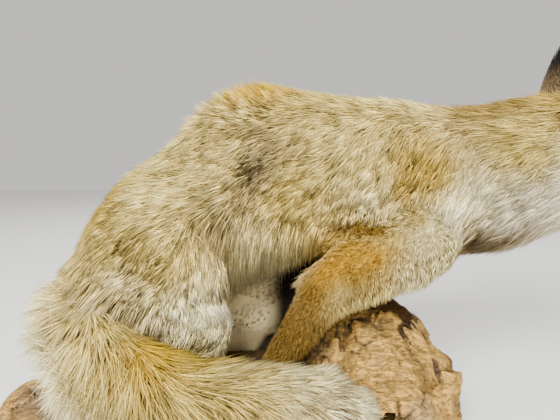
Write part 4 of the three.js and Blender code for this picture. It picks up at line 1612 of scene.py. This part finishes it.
def eyeball(side_name, side, material):
    """Glass, with rings of iris round an upright pupil, drawn in the colours of its vertices."""
    columns = 56
    gaze, a, away = round_the_gaze(side, columns)
    polar = np.radians(np.concatenate([np.linspace(0, 60, 30), np.linspace(66, 180, 10)]))
    fibres = 0.85 + 0.3 * lattice_value(np.stack([np.arange(columns)] * 3, axis=1), 4)
    points, colours = [], []
    for t in polar:
        radius = EYE_RADIUS + CORNEA_SWELL * smooth_step(math.radians(CORNEA), 0, t)
        points.append(eye_centre(side) + radius * (math.cos(t) * gaze + math.sin(t) * away))
        x, y = math.degrees(t) * np.cos(a), math.degrees(t) * np.sin(a)
        off, pupil = np.hypot(x, y), np.hypot(x / PUPIL_SIDE, y / PUPIL_TOP)
        iris = blend(linear(AMBER), linear(AMBER_DEEP), smooth_step(*IRIS_DEEP, off)[:, None])
        iris = blend(iris * fibres[:, None], linear(RIM), smooth_step(*IRIS_EDGE, off)[:, None])
        colours.append(blend(linear(RIM), iris, smooth_step(0.95, 1.1, pupil)[:, None]))
    quads = grid_faces(len(polar), columns, True)
    if side > 0:
        quads = quads[:, ::-1]
    obj = new_mesh("glass_eye_" + side_name, np.concatenate(points), quads)
    paint(obj, np.concatenate(colours), "Iris")
    finish_piece(obj, "eye", material, "eye_" + side_name)


# The leather: its body, then carved into it the nostrils, the slits beside them, and the groove.
NOSE_STEPS = [
    Step(True, [
        head_bone([103, 4, -16.5], 6.2, [103, -4, -16.5], 6.2),
        head_bone([101.5, 0, -19], 6.2, [98.5, 0, -24], 4.2),
    ], 3, 1),
    Step(False, [
        head_bone([110.5, side * 3.6, -17.5], 1.5, [104, side * 5.2, -17], 1.2) for _, side in SIDES
    ], 0.5, 1.2),
    Step(False, [
        head_bone([106, side * 8.2, -16.5], 0.8, [107, side * 10, -20], 0.7) for _, side in SIDES
    ], 0.5, 0.8),
    Step(False, [head_bone([109.2, 0, -19], 0.5, [103, 0, -28], 0.6)], 0.5, 0.8),
]


def nose_field(points):
    return steps_field(points, NOSE_STEPS, 0)


def add_nose(material):
    axes = [stretches((462, 492, 0.75)), stretches((-32, 4, 0.75)), stretches((276, 308, 0.75))]
    points, quads = surface_nets(nose_field(grid_points(axes, (slice(None),) * 3)), axes)
    obj = new_mesh("nose_leather", draw_onto(nose_field, points, 0.4), quads)
    finish_piece(obj, "nose", material, "nose")


def tube(line, radii, sides):
    """A closed tube through points: vertices, and triangles."""
    line = np.asarray(line, float)
    along = unit(np.gradient(line, axis=0))
    first = unit(np.cross(along, [0.31, 0.52, 0.79]))
    second = np.cross(along, first)
    a = np.linspace(0, 2 * math.pi, sides, endpoint=False)[:, None]
    outward = np.cos(a) * first[:, None] + np.sin(a) * second[:, None]
    rings = line[:, None] + np.asarray(radii)[:, None, None] * outward
    fan = np.arange(1, sides - 1)
    first_end = np.stack([0 * fan, fan + 1, fan], axis=1)
    last_end = np.stack([0 * fan, fan, fan + 1], axis=1) + (len(line) - 1) * sides
    faces = [halved(grid_faces(len(line), sides, True)), first_end, last_end]
    return rings.reshape(-1, 3), np.concatenate(faces)


def joined(parts):
    offset, vertices, faces = 0, [], []
    for v, f in parts:
        vertices.append(v)
        faces.append(f + offset)
        offset += len(v)
    return np.concatenate(vertices), np.concatenate(faces)


CLAW_LENGTH = 12
CLAW_DROP = 5.5  # how far the tip curves down
CLAW_RADIUS = 1.9


def add_claws(material):
    parts = []
    for toe in TOES:
        t = np.linspace(0, 1, 9)[:, None]
        line = toe.tip - toe.heading * 2.5 + toe.heading * CLAW_LENGTH * t
        line = line - toe.above * (1 + CLAW_DROP * t * t)
        parts.append(tube(line, CLAW_RADIUS * (1 - t[:, 0] ** 1.6) + 0.15, 10))
    vertices, faces = joined(parts)
    finish_piece(new_mesh("claws", off_the_wood(vertices), faces), "nose", material)


WHISKER_ROWS = ((84, -16), (79, -19.5), (74, -22.5), (70, -17))  # x and z of each row's first
WHISKERS_IN_ROW = 4
WHISKER_RADIUS = 0.22


def whisker(side, x, z, n, random):
    """The n-th whisker of a row that starts at x and z."""
    up = random.normal(0, 0.5)
    root = np.array([x - 4.5 * n, side * (8 + (90 - x) * 0.16 + 0.7 * n), z + up])
    sideways = 1 + 0.1 * random.random()
    out = unit(np.array([-0.2 - 0.14 * n, side * sideways, -0.08 + random.normal(0, 0.1)]))
    length = 44 + 8 * n + 10 * random.random()
    t = np.linspace(0, 1, 8)[:, None]
    line = root + out * length * t + np.array([-14, 0, -12]) * t * t
    return tube(in_head(line), WHISKER_RADIUS * (1 - t[:, 0]) + 0.04, 4)


def add_whiskers(material):
    random = np.random.default_rng(COAT_SEED)
    parts = []
    for _, side in SIDES:
        for x, z in WHISKER_ROWS:
            parts += [whisker(side, x, z, n, random) for n in range(WHISKERS_IN_ROW)]
    finish_piece(new_mesh("whiskers", *joined(parts)), "nose", material)


# ------------------------------------------------------------------ the driftwood
WOOD_CROWN = 3.0  # how deep the relief is where the wood meets its outline
WOOD_LIFT = 0.05  # the height of its flat underside
BURL_BOX = [(X, 60, 120), (Z, 20, 60)]  # where the wood is knotted
WOOD_TAN = (172, 142, 98)
WOOD_BROWN = (158, 128, 88)
WOOD_PALE = (202, 174, 126)
WOOD_GREY = (130, 110, 86)
# the colour of the painted shade in cracks and holes
WOOD_CRACK_SHADE = (44, 28, 18)
WOOD_SHADED = 0.8  # how much darker it is painted under the fox
SHADED_BOX = [(X, -80, -50), (X, 80, 55), (Y, -45, -20), (Y, 80, 55), (Z, 30, 55)]


def ridged(points, length, seed):
    return 1 - np.abs(noise(points, length, seed)) * 2


def plates(points, size, seed):
    """The height of the wood's broken, tilted plates, and how far each point is from an edge."""
    first, second = np.full(len(points), 1e9), np.full(len(points), 1e9)
    height = np.zeros(len(points))
    for cell, at in lattice_centres(points, size, seed):
        away = points - at
        d = np.linalg.norm(away, axis=1)
        tilt = lattice_vector(cell, seed + 3) - 0.5
        here = size * 0.16 * lattice_value(cell, seed + 6) + 0.42 * (away * tilt).sum(axis=1)
        nearer = d < first
        second = np.where(nearer, first, np.minimum(second, d))
        height = np.where(nearer, here, height)
        first = np.where(nearer, d, first)
    return height, second - first


def wood_relief(points):
    """Millimetres that the wood's surface sinks, and how much of that is a crack or a hole, which is
    painted dark as shade.
    """
    flat = points.reshape(-1, 3)
    swirl = noise_vector(flat, 48, 60) * 20 + noise_vector(flat, 13, 68) * 5
    burl = soft_box(flat, BURL_BOX)
    lengthwise = (flat + swirl) * [0.5, 1, 1]
    knotted = (flat + swirl) * [1, 1, 0.62]
    height, edge = plates(blend(lengthwise, knotted, burl[:, None]), 27, 61)
    chips, chip_edge = plates(blend(lengthwise, knotted, burl[:, None]), 9.5, 81)
    fibres = blend(ridged(lengthwise, 6, 63), ridged(knotted, 7, 64), burl)
    open_edge = smooth_step(0.0, 0.45, noise(flat, 30, 65))
    cracks = smooth_step(2.2, 0.5, edge) * open_edge
    holes = smooth_step(0.5, 0.62, noise(knotted, 11, 67)) * smooth_step(0.0, 0.4, noise(flat, 60, 69))
    sink = height + chips + 0.9 * (1 - fibres) + 4.5 * cracks + 5 * holes
    dark = np.maximum(np.maximum(cracks, holes), 0.35 * smooth_step(1.2, 0.3, chip_edge))
    return sink.reshape(points.shape[:-1]), dark.reshape(points.shape[:-1])


def wood_colours(points):
    sink, crack_shade = wood_relief(points)
    brown = smooth_step(0.0, 0.6, noise(points, 38, 70))
    colour = blend(rich(WOOD_TAN), rich(WOOD_BROWN), brown[:, None])
    pale = smooth_step(0.1, 0.7, noise(points, 30, 72)) * smooth_step(90, 30, points[:, Z])
    colour = blend(colour, rich(WOOD_PALE), 0.8 * pale[:, None])
    grey = smooth_step(0.2, 0.7, noise(points, 34, 71))
    colour = blend(colour, linear(WOOD_GREY), 0.5 * grey[:, None])
    # painted shade: the deeper the surface sinks, the darker it is painted
    unshaded_share = smooth_step(6.5, 1.5, sink)
    colour = colour * (0.5 + 0.55 * unshaded_share)[:, None]
    # painted shade in the cracks and holes
    colour = blend(colour, linear(WOOD_CRACK_SHADE), 0.85 * crack_shade[:, None])
    return colour * (1 - WOOD_SHADED * soft_box(points, SHADED_BOX))[:, None]


def add_driftwood(material):
    step = 2.5
    axes = [stretches((-250, 232, step)), stretches((-100, 110, step)), stretches((-6, 162, step))]
    points = grid_points(axes, (slice(None),) * 3)
    grid = field_on_grid(WOOD_STEPS, axes, 0) - wood_lumps(points)
    near = np.abs(grid) < 10
    sink, _ = wood_relief(points[near])
    grid[near] += np.clip(sink - WOOD_CROWN, -2, 8)
    grid = np.maximum(grid, WOOD_LIFT - points[..., 2])
    vertices, quads = surface_nets(grid, axes)
    obj = new_mesh("driftwood_burl", vertices, quads)
    paint(obj, wood_colours(vertices), "Wood")
    finish_piece(obj, "driftwood", material, "driftwood")


# ------------------------------------------------------------------ stage and light
STAGE_SIZE = 3.0
STAGE_COLOUR = (0.72, 0.71, 0.68, 1)


def add_stage():
    mesh = bpy.data.meshes.new("floor")
    corners = [(x * STAGE_SIZE, y * STAGE_SIZE, 0) for x, y in ((-1, -1), (1, -1), (1, 1), (-1, 1))]
    mesh.from_pydata(corners, [], [(0, 1, 2, 3)])
    floor = bpy.data.objects.new("floor", mesh)
    bpy.context.collection.objects.link(floor)
    material, shader = new_material("floor")
    set_inputs(material, shader, {"Base Color": STAGE_COLOUR, "Roughness": 0.9})
    mesh.materials.append(material)
    floor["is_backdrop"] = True


# Each lamp: name, place, what it faces, size, watts.
LAMPS = (
    ("key", (-0.55, -1.8, 1.5), (0.0, 0.0, 0.2), 0.9, 150),
    ("front", (0.5, -2.3, 0.45), (0.05, 0.0, 0.2), 1.4, 50),
    ("back", (0.2, 1.4, 1.5), (0.0, 0.0, 0.25), 1.4, 30),
)
SKY = (1.0, 0.98, 0.95)
SKY_STRENGTH = 0.75


def add_light():
    world = bpy.data.worlds.new("room")
    world.use_nodes = True
    background = world.node_tree.nodes["Background"]
    background.inputs["Color"].default_value = (*SKY, 1)
    background.inputs["Strength"].default_value = SKY_STRENGTH
    bpy.context.scene.world = world
    for name, place, toward, size, watts in LAMPS:
        data = bpy.data.lights.new(name, "AREA")
        data.size = size
        data.energy = watts
        lamp = bpy.data.objects.new(name, data)
        lamp.location = place
        aim = Vector(toward) - Vector(place)
        lamp.rotation_euler = aim.to_track_quat("-Z", "Y").to_euler()
        bpy.context.collection.objects.link(lamp)


# ------------------------------------------------------------------ the model
KEPT_APART = ("driftwood", "nose", "eye_left", "eye_right")


def add_skin(skin, material):
    obj = new_mesh("skin", skin.points, skin.quads)
    bare = np.maximum(skin.groups == BARE_GROUP, soft_box(skin.points, SLEEK_BOX))
    paint(obj, skin.colour * blend(SKIN_SHADE, 1, bare)[:, None])
    flesh = [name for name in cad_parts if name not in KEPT_APART]
    finish_piece(obj, "coat_sand", material, *flesh)


def build():
    add_camera()
    furs = {slot: fur_material("fur_" + slot.removeprefix("coat_")) for slot in FUR_SLOTS}
    skin = make_skin()
    add_skin(skin, fur_material("skin"))
    add_coat(skin, furs)
    glass = glass_eye_material()
    for side_name, side in SIDES:
        eyeball(side_name, side, glass)
    add_nose(horn_material("nose_leather", 0.32, 900, 0.0004))
    add_claws(horn_material("claw_horn", 0.4, 300, 0.0002))
    add_whiskers(horn_material("whisker", 0.5, 300, 0.0))
    add_driftwood(wood_material())
    add_stage()
    add_light()


build()

boxes = [[list(corner) for corner in box] for box in (cad_box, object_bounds())]
